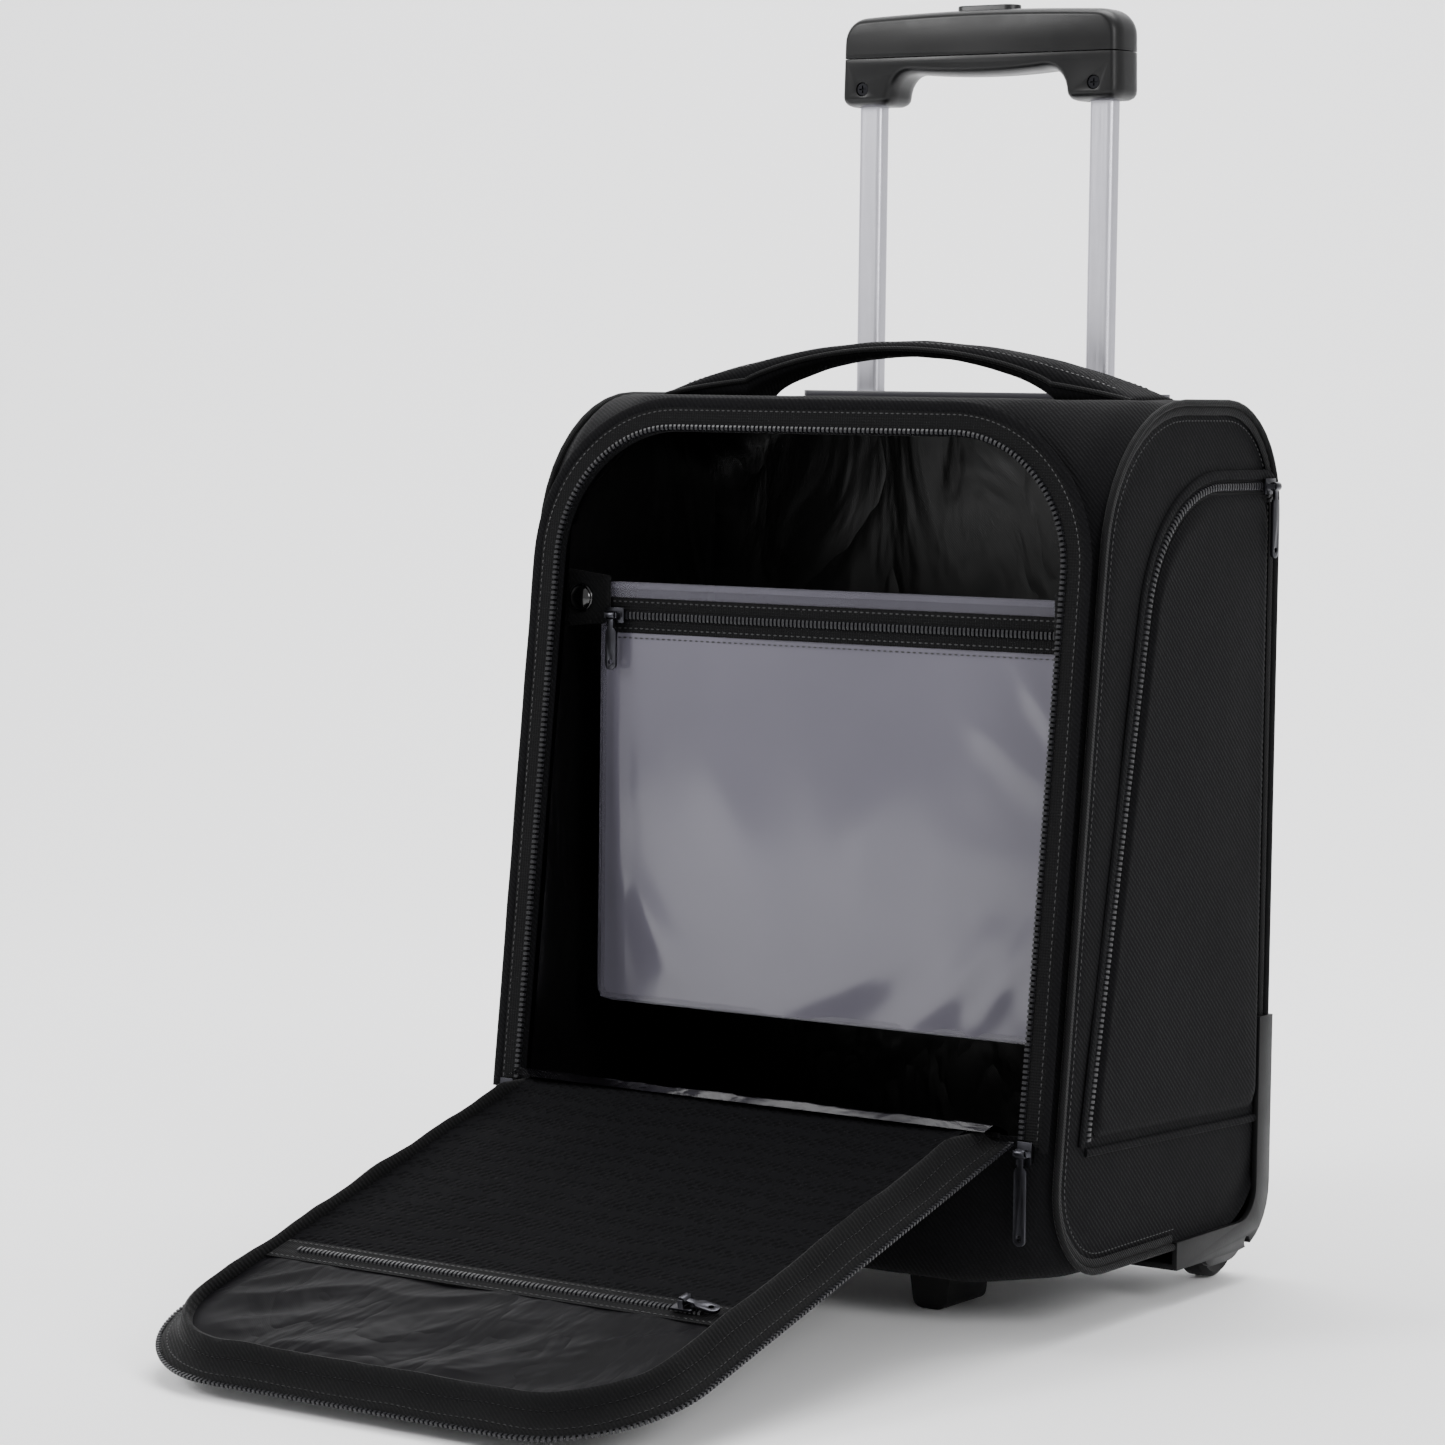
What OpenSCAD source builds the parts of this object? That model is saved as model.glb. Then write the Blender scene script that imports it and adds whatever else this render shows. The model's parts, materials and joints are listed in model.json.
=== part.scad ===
// Soft-sided rolling pilot case on two wheels, with its front flap folded down
// and its telescopic handle part way out. Millimetres, +Z up, front at -Y.
// The origin is on the floor, in the middle of the footprint of the open case.

/* [Case] */
// Width between the two side seams
case_w = 328; // [290:1:420]
// Height of the top panel above the floor
case_h = 445; // [420:1:560]
// Depth between the side seams at the top
depth_top = 171; // [160:1:240]
// Lean of the front face, degrees off upright
front_lean = 6.5; // [2:0.5:8]
// Height of the bottom panel above the floor
floor_gap = 20; // [18:1:26]
// Thickness of the padded walls
wall = 4; // [3:0.5:5]
// How far the side panels' lower seam sits above the bottom panel
side_lift = 8; // [4:1:12]
// Width of the top's square-edged middle
crown_w = 216; // [180:1:230]

/* [Corner radii] */
// Side panel, upper front corner
side_front_r = 80; // [60:1:90]
// Side panel, upper rear corner
side_rear_r = 55; // [40:1:70]
// Side panel, both lower corners
side_low_r = 45; // [35:1:50]
// Middle of the case, upper front edge
mid_front_r = 20; // [12:1:30]
// Middle of the case, upper rear edge
mid_rear_r = 16; // [10:1:22]
// Middle of the case, both lower edges
mid_low_r = 28; // [20:1:34]

/* [Flap and main zip] */
// Width of the opening at the zip's teeth
zip_w = 293; // [240:1:300]
// Length of the opening from the flap's hinge to the top of the zip
zip_h = 331; // [280:1:340]
// Height of the flap's hinge line
hinge_z = 98; // [80:1:110]
// Corner radius of the zip's line
zip_corner_r = 65; // [40:1:80]
// How far the zip stands in front of the side seams
zip_proud = 6; // [4:1:14]
// Thickness of the flap's padded outer panel
flap_out = 8; // [5:1:12]
// How far the flap's lining stands inside the zip
flap_in = 8; // [6:1:10]
// Height of the rim above the flap's lining
rim_rise = 5; // [3:1:7]
// Width of the zip tape between the flap's teeth and its rim
skirt_w = 13; // [10:1:18]
// Width of one row of main zip teeth
chain_w = 2.9; // [2:0.1:3.5]
// Thickness of the main zip teeth
chain_t = 2.4; // [1.6:0.1:3]
// Distance of the mesh pocket's zip from the hinge
mesh_zip_z = 221; // [180:1:250]
// From the flap's zip line to each end of the mesh pocket's zip
mesh_zip_end = 33.5; // [25:0.5:60]

/* [Telescopic handle] */
// Distance between the two tubes
tube_span = 139; // [120:1:160]
// Distance of the tubes' centres from the rear seam
tube_back = 15; // [14:0.5:17]
// Width of the inner tube
tube_w = 14; // [12:0.5:15]
// Depth of the inner tube
tube_d = 10; // [9:0.5:11]
// Wall of every tube
tube_wall = 1; // [0.8:0.1:1.2]
// Length of the inner tubes below the grip
inner_len = 380; // [300:1:390]
// Length of the middle tubes
middle_len = 360; // [300:1:365]
// Length of inner tube that shows between bezel and grip
handle_out = 148; // [60:1:200]
// Overall width of the grip
grip_w = 167; // [150:1:200]
// Depth of the grip
grip_d = 26; // [24:1:30]
// Height of the grip, from its collars to its top
grip_h = 45; // [42:1:52]
// Height of the collars' lower part, below the hand bar
collar_h = 17; // [12:1:18]
// Width of one collar
collar_w = 31; // [26:1:34]
// Travel of the push button
button_travel = 4; // [3:0.5:5]

/* [Bezel and bracket] */
// Width of the bezel round the tubes
bezel_w = 212; // [190:1:226]
// Depth of the bezel
bezel_d = 28; // [26:1:30]
// Thickness of the bezel above the top panel
bezel_t = 3; // [2:0.5:4]

/* [Wheels] */
// Radius of the wheels
wheel_r = 20; // [18:0.5:26]
// Width of the wheels
wheel_w = 15; // [12:0.5:20]
// Distance of a wheel's middle from the middle of the case
wheel_x = 143; // [110:1:146]
// Radius of the axles
axle_r = 3; // [2.5:0.1:4]
// Height of the wheel guards
guard_h = 134; // [100:1:150]
// Length of the wheel guards under the case
guard_l = 95; // [80:1:110]
// Thickness of the wheel guards
guard_t = 3; // [2:0.5:3.5]
// Height of the wheel housings' lower edge above the floor
housing_low = 9; // [7:0.5:14]

/* [Feet] */
// Distance of a foot's middle from the middle of the case
foot_x = 74; // [60:1:100]
// Distance of the feet from the rear seam
foot_y = 157; // [140:1:165]
// Width of a foot
foot_w = 24; // [20:1:30]
// Length of a foot
foot_l = 38; // [30:1:44]

/* [Carry handle] */
// Length of the padded carry handle
carry_l = 276; // [240:1:276]
// Width of the finger gap under it
carry_gap = 168; // [130:1:180]
// Height of the handle's crown above the case
carry_rise = 28; // [24:1:34]
// Thickness of the handle at its crown
carry_t = 16; // [12:1:18]
// Width of the handle, front to back
carry_d = 30; // [24:1:36]

/* [Inner pouch] */
// Width of the pouch
pouch_w = 274; // [240:1:280]
// Height of the pouch
pouch_h = 214; // [180:1:220]
// Height of the pouch's lower edge
pouch_z = 134; // [110:1:140]
// Distance of the pouch from the rear seam
pouch_back = 160; // [150:1:163]
// Thickness of the empty pouch
pouch_t = 4; // [3:0.5:6]

/* [Side pocket] */
// Height of the pocket's zip above the floor
pocket_top = 405; // [370:1:410]
// Height of the pocket's lower seam
pocket_low = 88; // [70:1:100]
// Distance of the pocket's lower front corner from the rear seam
pocket_reach = 187; // [150:1:195]
// How far the pocket panel stands off the side panel
pocket_t = 4; // [3:0.5:6]

/* [Fits] */
// Gap between sliding tubes, all round
slide_gap = 0.3; // [0.2:0.05:0.5]
// Radial clearance of a wheel on its axle
axle_fit = 0.05; // [0.02:0.01:0.1]
// Radial clearance of a zip pull on its pin
pin_fit = 0.06; // [0.02:0.01:0.1]
// Gap between the two rows of teeth, and of sliders over teeth
zip_gap = 0.6; // [0.4:0.1:1]

/* [Hidden] */
$fn = 48;
eps = 0.01;
arc_steps = 8;

// Front face and hinge line
flap_l = zip_h;
flap_reach = sqrt(flap_l * flap_l + flap_out * flap_out);
floor_clear = 0.4;
flap_drop = asin((hinge_z - floor_clear) / flap_reach) - atan(flap_out / flap_l);
depth_hinge = depth_top + (case_h - hinge_z) * tan(front_lean) + zip_proud / cos(front_lean);
total_l = depth_hinge + flap_l * cos(flap_drop) + guard_t;
y_back = total_l / 2 - guard_t;
y_hinge = y_back - depth_hinge;
x_side = case_w / 2;

// Tubes, from the inside out
mid_glide_w = tube_w + 2 * slide_gap;
mid_glide_d = tube_d + 2 * slide_gap;
mid_w = mid_glide_w + 2 * tube_wall + 1.2;
mid_d = mid_glide_d + 2 * tube_wall + 1.2;
out_in_w = mid_w + 2 * slide_gap;
out_in_d = mid_d + 2 * slide_gap;
out_w = out_in_w + 2 * tube_wall;
out_d = out_in_d + 2 * tube_wall;
tube_x = tube_span / 2;
tube_y = y_back - tube_back;
section_r = 3;
bezel_top = case_h + bezel_t;
collar_z = bezel_top + 1 + handle_out;
grip_top = collar_z + grip_h;
bar_z = collar_z + collar_h;
inner_top = collar_z + 15;
middle_top = bezel_top - 1;
bracket_h = 14;
bracket_in = mid_low_r - tube_back + out_d / 2 + 1;
bracket_rise = sqrt((mid_low_r - wall) * (mid_low_r - wall) - bracket_in * bracket_in);
bracket_z = floor_gap + mid_low_r - bracket_rise + 1;
board_back = tube_back + out_d / 2 + 2;
board_t = 2;
part_z = collar_z + 25;
well_floor = 2.5;
spring_len = 8.5;
well_z = bar_z + well_floor;
link_z = well_z + spring_len;
link_h = 4;
plug_h = 15;
button_w = 36;
button_d = 12;
button_rise = 6;
rod_r = 1.5;
screw_r = 1.8;

// Wheels
wheel_y = y_back - wheel_r;
well_gap = 3;
cheek_t = 3;
well_x0 = wheel_x - wheel_w / 2 - well_gap;
well_x1 = wheel_x + wheel_w / 2 + well_gap;
well_top = 2 * wheel_r + well_gap;
well_front = wheel_y - wheel_r - well_gap;
hub_r = wheel_r - 6;

// Zip pieces
slider_off = 3.9 + zip_gap;
pin_r = 0.9;
pin_bore = pin_r + pin_fit;
slider_w = 7.8;
slider_l = 11;
slider_clear = 0.4;
main_slider_x = zip_w / 2 + 5.7;
main_slider_z = -7;
coil_t = 1.6;
coil_w = 4.4;
pouch_y = y_back - pouch_back;
pouch_front = pouch_y - pouch_t / 2;
pouch_zip_z = pouch_z + pouch_h - 16;
mesh_zip_w = zip_w - 2 * mesh_zip_end;
mesh_slider_x = mesh_zip_w / 2 - 8;
mesh_pull_l = 18;
pull_rest = 1.6;
mesh_drop = asin((slider_off - pull_rest) / mesh_pull_l);
carry_y = y_back - depth_top / 2;
side_slider_y = y_back - 13;
snap_x = pouch_w / 2 + 10;

// ---------------------------------------------------------------- geometry
function unit(v) = v / norm(v);

// The points that round corner p, between its neighbours a and b
function corner(p, a, b, r) = r <= 0 ? [p] :
    let (u = unit(a - p), v = unit(b - p), half = acos(u * v) / 2,
         c = p + unit(u + v) * r / sin(half),
         s = p + u * r / tan(half) - c, e = p + v * r / tan(half) - c,
         a0 = atan2(s[1], s[0]), turn0 = atan2(e[1], e[0]) - a0,
         turn = turn0 > 180 ? turn0 - 360 : turn0 < -180 ? turn0 + 360 : turn0)
    [for (i = [0:arc_steps]) c + r * [cos(a0 + turn * i / arc_steps), sin(a0 + turn * i / arc_steps)]];

// A closed loop of corners pts, each rounded to its radius in rs
function rounded(pts, rs) = let (n = len(pts))
    [for (i = [0:n - 1]) each corner(pts[i], pts[(i + n - 1) % n], pts[(i + 1) % n], rs[i])];

// A rectangle centred on the origin, with every corner rounded to r
function pill(w, h, r) = rounded([[-w / 2, -h / 2], [w / 2, -h / 2], [w / 2, h / 2], [-w / 2, h / 2]],
    [r, r, r, r]);

// Distance along Y of the front seam at height z
function front_y(z) = y_back - depth_top - (case_h - z) * tan(front_lean);

// The case's outline from the side, drawn in by d, and by rear at its back
function side_profile(d, rear) = rounded(
    [[front_y(floor_gap + side_lift) + d, floor_gap + side_lift + d],
     [y_back - rear, floor_gap + side_lift + d],
     [y_back - rear, case_h - d], [front_y(case_h) + d, case_h - d]],
    [side_low_r - d, side_low_r - d, side_rear_r - d, side_front_r - d]);

// The same through the middle of the case
function mid_profile(d, rear) = rounded(
    [[front_y(floor_gap) - zip_proud + d, floor_gap + d], [y_back - rear, floor_gap + d],
     [y_back - rear, case_h - d], [front_y(case_h) - zip_proud + d, case_h - d]],
    [mid_low_r - d, mid_low_r - d, mid_rear_r - d, mid_front_r - d]);

// The line of the main zip, seen from the front and moved outward by d
function zip_line(d, z0) = rounded(
    [[-zip_w / 2 - d, z0], [zip_w / 2 + d, z0], [zip_w / 2 + d, zip_h + d], [-zip_w / 2 - d, zip_h + d]],
    [0, 0, zip_corner_r + d, zip_corner_r + d]);

// The side pocket's outline, drawn in by d
function pocket_line(d) = rounded(
    [[y_back - pocket_reach + d, pocket_low + d], [y_back - 6 - d, pocket_low - 6 + d],
     [y_back - 6 - d, pocket_top - d], [y_back - 124 + d, pocket_top - d]],
    [6, 6, 10, 75 - d]);

// A point of the front face (y out of the face, z along it) in the case's frame
function front_point(y, z) = [y_hinge + y * cos(front_lean) + z * sin(front_lean),
    hinge_z - y * sin(front_lean) + z * cos(front_lean)];

// Extrude an outline drawn in Y and Z from x0 to x1
module along_x(x0, x1) {
    translate([x0, 0, 0]) rotate([90, 0, 90]) linear_extrude(x1 - x0) children();
}

// Extrude an outline drawn in X and Z from y0 to y1
module along_y(y0, y1) {
    translate([0, y1, 0]) rotate([90, 0, 0]) linear_extrude(y1 - y0) children();
}

module both_sides() {
    for (s = [-1, 1]) scale_x(s) children();
}

module scale_x(s) {
    if (s > 0) children();
    else mirror([1, 0, 0]) children();
}

module on_front() {
    translate([0, y_hinge, hinge_z]) rotate([-front_lean, 0, 0]) children();
}

module on_flap() {
    translate([0, y_hinge, hinge_z]) rotate([90 + flap_drop, 0, 0]) children();
}

// The outer shape of the case, drawn in by d, by rear at the back and to x_half
module case_shape(d, rear, x_half) {
    hull() {
        along_x(-x_half, x_half) polygon(side_profile(d, rear));
        along_x(-crown_w / 2, crown_w / 2) polygon(mid_profile(d, rear));
        on_front() along_y(d, d + 1) polygon(zip_line(2 - d, -hinge_z / 2));
    }
}

// The padded wall all round the case, between the side panels
module case_wall() {
    difference() {
        case_shape(0, 0, x_side - wall);
        case_shape(wall, wall, x_side + 1);
    }
}

// The opening that the flap closes
module flap_opening(d) {
    on_front() along_y(-40, 40) polygon(zip_line(d, 0));
}

module wheel_wells(gap) {
    both_sides()
        translate([well_x0 - cheek_t - gap, well_front - cheek_t - gap, 0])
            cube([well_x1 - well_x0 + 2 * cheek_t + 2 * gap, 2 * wheel_r + 3 * well_gap + 20,
                well_top + cheek_t + gap]);
}

module region(y0, y1, z0, z1) {
    translate([-case_w, y0, z0]) cube([2 * case_w, y1 - y0, z1 - z0]);
}

// A closed tube of rounded section, standing on z0
module section(w, d, h) {
    linear_extrude(h) polygon(pill(w, d, min(section_r, d / 2 - 0.5)));
}

module tube(w, d, h) {
    difference() {
        section(w, d, h);
        translate([0, 0, -1]) section(w - 2 * tube_wall, d - 2 * tube_wall, h + 2);
    }
}

module at_tubes(z) {
    for (s = [-1, 1]) translate([s * tube_x, tube_y, z]) children();
}

// Zip slider: its pull's pin lies along X through the origin, the teeth behind it.
// Its plate is w across that pin and h along it.
module slider_body(w, h) {
    translate([-w / 2, 2.7, -h / 2]) cube([w, 1.2, h]);
    for (s = [-1, 1]) translate([s * 3.4 - 0.4, -1.3, -1.3]) cube([0.8, 4.3, 2.6]);
    rotate([0, 90, 0]) cylinder(r = pin_r, h = 7, center = true);
}

// Zip pull of length l, hanging from the origin
module pull_body(l) {
    difference() {
        union() {
            rotate([0, 90, 0]) cylinder(r = 2.2, h = 5.2, center = true);
            translate([-1.5, -0.8, -8]) cube([3, 1.6, 6.6]);
            along_y(-0.8, 0.8) translate([0, -l / 2 - 3]) polygon(pill(6.4, l - 6, 3));
        }
        rotate([0, 90, 0]) cylinder(r = pin_bore, h = 8, center = true);
        translate([0, 2, 4 - l]) rotate([90, 0, 0]) cylinder(r = 1.4, h = 4);
    }
}

// ---------------------------------------------------------------- case walls
module side_panel() {
    along_x(x_side - wall, x_side) polygon(side_profile(0, 0));
}

module side_panel_left() {
    color("#161617") scale_x(-1) side_panel();
}

module side_panel_right() {
    color("#161617") side_panel();
}

split_top = case_h - side_front_r - 2;
split_low = floor_gap + side_low_r + 5;

module top_panel() {
    color("#161617") difference() {
        intersection() {
            case_wall();
            region(-case_w * 2, case_w * 2, split_top, case_h + 1);
        }
        flap_opening(0);
        at_tubes(case_h - 30) section(out_w + 1, out_d + 1, 60);
    }
}

module back_panel() {
    color("#161617") difference() {
        intersection() {
            case_wall();
            region(y_back - 20, y_back + 1, split_low, split_top);
        }
        wheel_wells(0.2);
    }
}

module bottom_panel() {
    color("#161617") difference() {
        intersection() {
            case_wall();
            region(front_y(0) + 40, y_back + 1, 0, split_low);
        }
        wheel_wells(0.2);
    }
}

module front_lower_panel() {
    color("#161617") difference() {
        intersection() {
            case_wall();
            union() {
                region(front_y(0) - 40, front_y(0) + 40, 0, split_low);
                region(front_y(0) - 40, front_y(0) + 60, split_low, hinge_z - 2);
            }
        }
        flap_opening(0);
    }
}

module front_border() {
    difference() {
        intersection() {
            case_wall();
            region(front_y(0) - 40, front_y(case_h) + 30, hinge_z - 2, split_top);
            translate([0, -case_h, 0]) cube([case_w, 2 * case_h, 2 * case_h]);
        }
        flap_opening(0);
    }
}

module front_border_left() {
    color("#161617") scale_x(-1) front_border();
}

module front_border_right() {
    color("#161617") front_border();
}

// Piping cords round the side panels' seams, as far as the wheel guards
module side_pipings() {
    cord = 3;
    color("#101011") both_sides()
        along_x(x_side + 0.1, x_side + cord) difference() {
            polygon(side_profile(0, 0));
            polygon(side_profile(cord, cord));
            translate([y_back - guard_l - 0.5, 0]) square([guard_l + 10, guard_h + 0.5]);
        }
}

module back_board() {
    color("#0c0c0d")
        translate([-x_side + 12, y_back - board_back - board_t, well_top + 12])
            cube([case_w - 24, board_t, case_h - wall - 12 - well_top - 12]);
}

module base_board() {
    color("#0c0c0d")
        translate([2 - crown_w / 2, front_y(floor_gap) + mid_low_r + 4, floor_gap + wall + 0.5])
            cube([crown_w - 4, well_front - cheek_t - 4 - front_y(floor_gap) - mid_low_r - 4, board_t]);
}

module interior_lining() {
    cloth = 0.8;
    rear = board_back + board_t + 0.3;
    low = wall + board_t + 1;
    color("#121214") difference() {
        case_shape(low, rear, x_side - wall - 0.3);
        case_shape(low + cloth, rear + cloth, x_side - wall - 0.3 - cloth);
        flap_opening(-2);
        wheel_wells(0.2);
    }
}

// ---------------------------------------------------------------- main zip
// One row of teeth beside the zip's line, from d0 to d1 outward of it
module teeth_row(d0, d1, z0) {
    along_y(-chain_t - 0.2, -0.2) difference() {
        polygon(zip_line(d1, z0));
        polygon(zip_line(d0, z0 - 1));
    }
}

module body_zip_chain() {
    color("#1b1b1c") on_front() teeth_row(zip_gap / 2, zip_gap / 2 + chain_w, 0);
}

// Fabric hinge between the front panel and the flap
module hinge_tape() {
    bead_r = 1.2;
    color("#161617") on_front() {
        translate([-zip_w / 2 + 10, -bead_r - 0.2, 0]) rotate([0, 90, 0])
            cylinder(r = bead_r, h = zip_w - 20);
        translate([-zip_w / 2 + 10, -1.2, -10]) cube([zip_w - 20, 1, 10]);
    }
}

module main_slider(s) {
    color("#2c2c2e") on_front()
        translate([s * main_slider_x, -chain_t - 0.2 - slider_off, main_slider_z]) {
            slider_body(slider_w, slider_l);
            translate([-3, 3.9, -4]) cube([6, chain_t + 0.8, 8]);
        }
}

module main_slider_left() {
    main_slider(-1);
}

module main_slider_right() {
    main_slider(1);
}

main_pin = front_point(-chain_t - 0.2 - slider_off, main_slider_z);
main_pull_l = 44;

module main_pull(s) {
    color("#3a3a3c") translate([s * main_slider_x, main_pin[0], main_pin[1]]) pull_body(main_pull_l);
}

module main_pull_left() {
    main_pull(-1);
}

module main_pull_right() {
    main_pull(1);
}

// ---------------------------------------------------------------- handles
function carry_upper(x) = case_h + carry_rise * pow(cos(90 * x / (carry_l / 2)), 0.75);
function carry_lower(x) = case_h + 1 + (carry_rise - carry_t) * (1 - pow(x / (carry_gap / 2), 2));

module carry_handle() {
    n = 28;
    outer = [for (i = [0:n]) let (x = -carry_l / 2 + carry_l * i / n) [x, carry_upper(x)]];
    inner = [for (i = [n:-1:0]) let (x = -carry_gap / 2 + carry_gap * i / n) [x, carry_lower(x)]];
    color("#161617") along_y(carry_y - carry_d / 2, carry_y + carry_d / 2)
        polygon(concat(outer, [[carry_gap / 2, case_h]], inner, [[-carry_gap / 2, case_h]]));
}

module handle_bezel() {
    color("#3b3a3f") difference() {
        translate([0, tube_y, case_h]) linear_extrude(bezel_t) polygon(pill(bezel_w, bezel_d, 8));
        at_tubes(case_h - 1) section(out_in_w, out_in_d, bezel_t + 2);
    }
}

module outer_tubes() {
    color("#8f8f93") at_tubes(bracket_z + 4) tube(out_w, out_d, case_h - bracket_z - 4);
}

module tube_bracket() {
    color("#1c1c1e") difference() {
        translate([-tube_x - out_w / 2 - 6, tube_y - out_d / 2 - 1, bracket_z])
            cube([tube_span + out_w + 12, out_d + 2, bracket_h]);
        at_tubes(bracket_z + 4 - eps) section(out_w, out_d, bracket_h);
    }
}

module middle_tubes() {
    color("#b4b3b9") at_tubes(middle_top - middle_len) difference() {
        section(mid_w, mid_d, middle_len - 12);
        translate([0, 0, -1]) section(mid_w - 2 * tube_wall, mid_d - 2 * tube_wall, middle_len + 2);
    }
}

module middle_glides() {
    color("#1c1c1e") at_tubes(middle_top - 12) difference() {
        section(mid_w, mid_d, 12);
        translate([0, 0, -1]) section(mid_glide_w, mid_glide_d, 14);
    }
}

module inner_tubes() {
    color("#cfced5") at_tubes(inner_top - inner_len) tube(tube_w, tube_d, inner_len);
}

// The grip's outline from the front: a hand bar on two collars
function grip_outline() = rounded(
    [[-grip_w / 2, collar_z], [-grip_w / 2 + collar_w, collar_z], [-grip_w / 2 + collar_w + 2, bar_z],
     [grip_w / 2 - collar_w - 2, bar_z], [grip_w / 2 - collar_w, collar_z], [grip_w / 2, collar_z],
     [grip_w / 2 - 1, grip_top], [-grip_w / 2 + 1, grip_top]],
    [3, 3, 7, 7, 3, 3, 11, 11]);

module grip_body() {
    difference() {
        along_y(tube_y - grip_d / 2, tube_y + grip_d / 2) polygon(grip_outline());
        // Room for the push rods' link
        translate([-tube_x - 4, tube_y - 4, link_z - button_travel - 1])
            cube([tube_span + 8, 8, grip_top - 5 - link_z + button_travel + 1]);
        // Well for the spring and the button's foot
        translate([0, tube_y, well_z]) linear_extrude(grip_top - 5 - well_z)
            polygon(pill(button_w + 4, button_d + 4, 6));
        translate([0, tube_y, grip_top - 6]) linear_extrude(10)
            polygon(pill(button_w + 0.8, button_d + 0.8, 6.3));
        at_tubes(collar_z - 1) section(tube_w + 0.1, tube_d + 0.1, inner_top - collar_z + 1);
        at_tubes(collar_z) cylinder(r = rod_r + 1, h = link_z - collar_z);
        both_sides() translate([tube_x, tube_y - tube_d / 2 + 2, collar_z + 9]) rotate([90, 0, 0]) {
            cylinder(r = screw_r, h = grip_d);
            translate([0, 0, grip_d / 2 - tube_d / 2 - 0.5]) cylinder(r = 3.4, h = grip_d);
        }
    }
}

module grip_upper() {
    color("#242427") intersection() {
        grip_body();
        region(tube_y - grip_d, tube_y + grip_d, part_z, grip_top + 5);
    }
}

module grip_lower() {
    color("#242427") intersection() {
        grip_body();
        region(tube_y - grip_d, tube_y + grip_d, collar_z - 1, part_z);
    }
}

module grip_screws() {
    color("#4a4a4d") both_sides() translate([tube_x, tube_y - tube_d / 2, collar_z + 9]) rotate([90, 0, 0])
        difference() {
            union() {
                cylinder(r = screw_r, h = grip_d / 2 - tube_d / 2 - 2);
                translate([0, 0, grip_d / 2 - tube_d / 2 - 2.5]) cylinder(r = 3.2, h = 1.8);
            }
            for (a = [0, 90]) rotate([0, 0, a])
                translate([-2, -0.4, grip_d / 2 - tube_d / 2 - 1.7]) cube([4, 0.8, 2]);
        }
}

module lock_plugs() {
    color("#1c1c1e") at_tubes(inner_top - inner_len) {
        translate([0, 0, -5]) section(mid_w - 2 * tube_wall - 2 * slide_gap,
            mid_d - 2 * tube_wall - 2 * slide_gap, 5);
        section(tube_w - 2 * tube_wall - 0.1, tube_d - 2 * tube_wall - 0.1, plug_h);
    }
}

module grip_button() {
    color("#1d1d1f") translate([0, tube_y, 0]) {
        translate([0, 0, link_z + link_h + 3]) linear_extrude(grip_top + button_rise - link_z - link_h - 3)
            polygon(pill(button_w, button_d, 5.9));
        translate([0, 0, link_z + link_h]) linear_extrude(grip_top - 6.5 - link_z - link_h)
            polygon(pill(button_w + 2.4, button_d + 2.4, 6));
    }
}

module push_rods() {
    color("#77777b") {
        translate([-tube_x - 2, tube_y - 2.5, link_z]) cube([tube_span + 4, 5, link_h]);
        at_tubes(inner_top - inner_len + plug_h + button_travel + 2)
            cylinder(r = rod_r, h = link_z + 1 - inner_top + inner_len - plug_h - button_travel - 2);
    }
}

// Coil spring under the button, as a ring swept along a helix
spring_coil_r = 3.4;
spring_wire_r = 0.5;
spring_turns = 4;

module button_spring() {
    sides = 6;
    per_turn = 14;
    n = spring_turns * per_turn;
    rise = spring_len - 2 * spring_wire_r;
    pts = [for (i = [0:n]) let (a = 360 * i / per_turn) for (j = [0:sides - 1])
        let (b = 360 * j / sides, r = spring_coil_r + spring_wire_r * cos(b))
        [r * cos(a), r * sin(a), spring_wire_r + rise * i / n + spring_wire_r * sin(b)]];
    skin = [for (i = [0:n - 1]) for (j = [0:sides - 1])
        let (k = (j + 1) % sides, a = i * sides + j, b = i * sides + k)
        each [[a, b, b + sides], [a, b + sides, a + sides]]];
    start = [for (j = [sides - 1:-1:0]) j];
    finish = [for (j = [0:sides - 1]) n * sides + j];
    color("#9a9a9e") translate([0, tube_y, well_z])
        polyhedron(points = pts, faces = concat(skin, [start, finish]));
}

// ---------------------------------------------------------------- wheels and feet
// The guard's outline from the side: a band of thickness t round the rear corner
module guard_band(t) {
    out = guard_t;
    difference() {
        polygon(rounded([[y_back - guard_l, floor_gap - out], [y_back + out, floor_gap - out],
            [y_back + out, guard_h], [y_back - guard_l, guard_h]], [0, mid_low_r + out, 0, 0]));
        polygon(rounded([[y_back - guard_l - 1, floor_gap - out + t], [y_back + out - t, floor_gap - out + t],
            [y_back + out - t, guard_h + 1], [y_back - guard_l - 1, guard_h + 1]],
            [0, mid_low_r + out - t, 0, 0]));
    }
}

module wheel_guard() {
    difference() {
        union() {
            along_x(well_x0 - 20, x_side + 3) guard_band(guard_t);
            along_x(x_side + 0.2, x_side + 3) guard_band(guard_t + side_lift + 3);
            along_x(well_x0 - cheek_t, well_x1 + cheek_t) polygon(rounded(
                [[well_front - cheek_t, housing_low], [y_back, housing_low],
                 [y_back, well_top + cheek_t], [well_front - cheek_t, well_top + cheek_t]], [8, 20, 0, 0]));
        }
        translate([well_x0, well_front, -1]) cube([well_x1 - well_x0, 3 * wheel_r + 20, well_top + 1]);
        translate([well_x0 - 10, wheel_y, wheel_r]) rotate([0, 90, 0]) cylinder(r = axle_r, h = wheel_w + 40);
        guard_holes() cylinder(r = screw_r, h = 20, center = true);
    }
}

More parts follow.
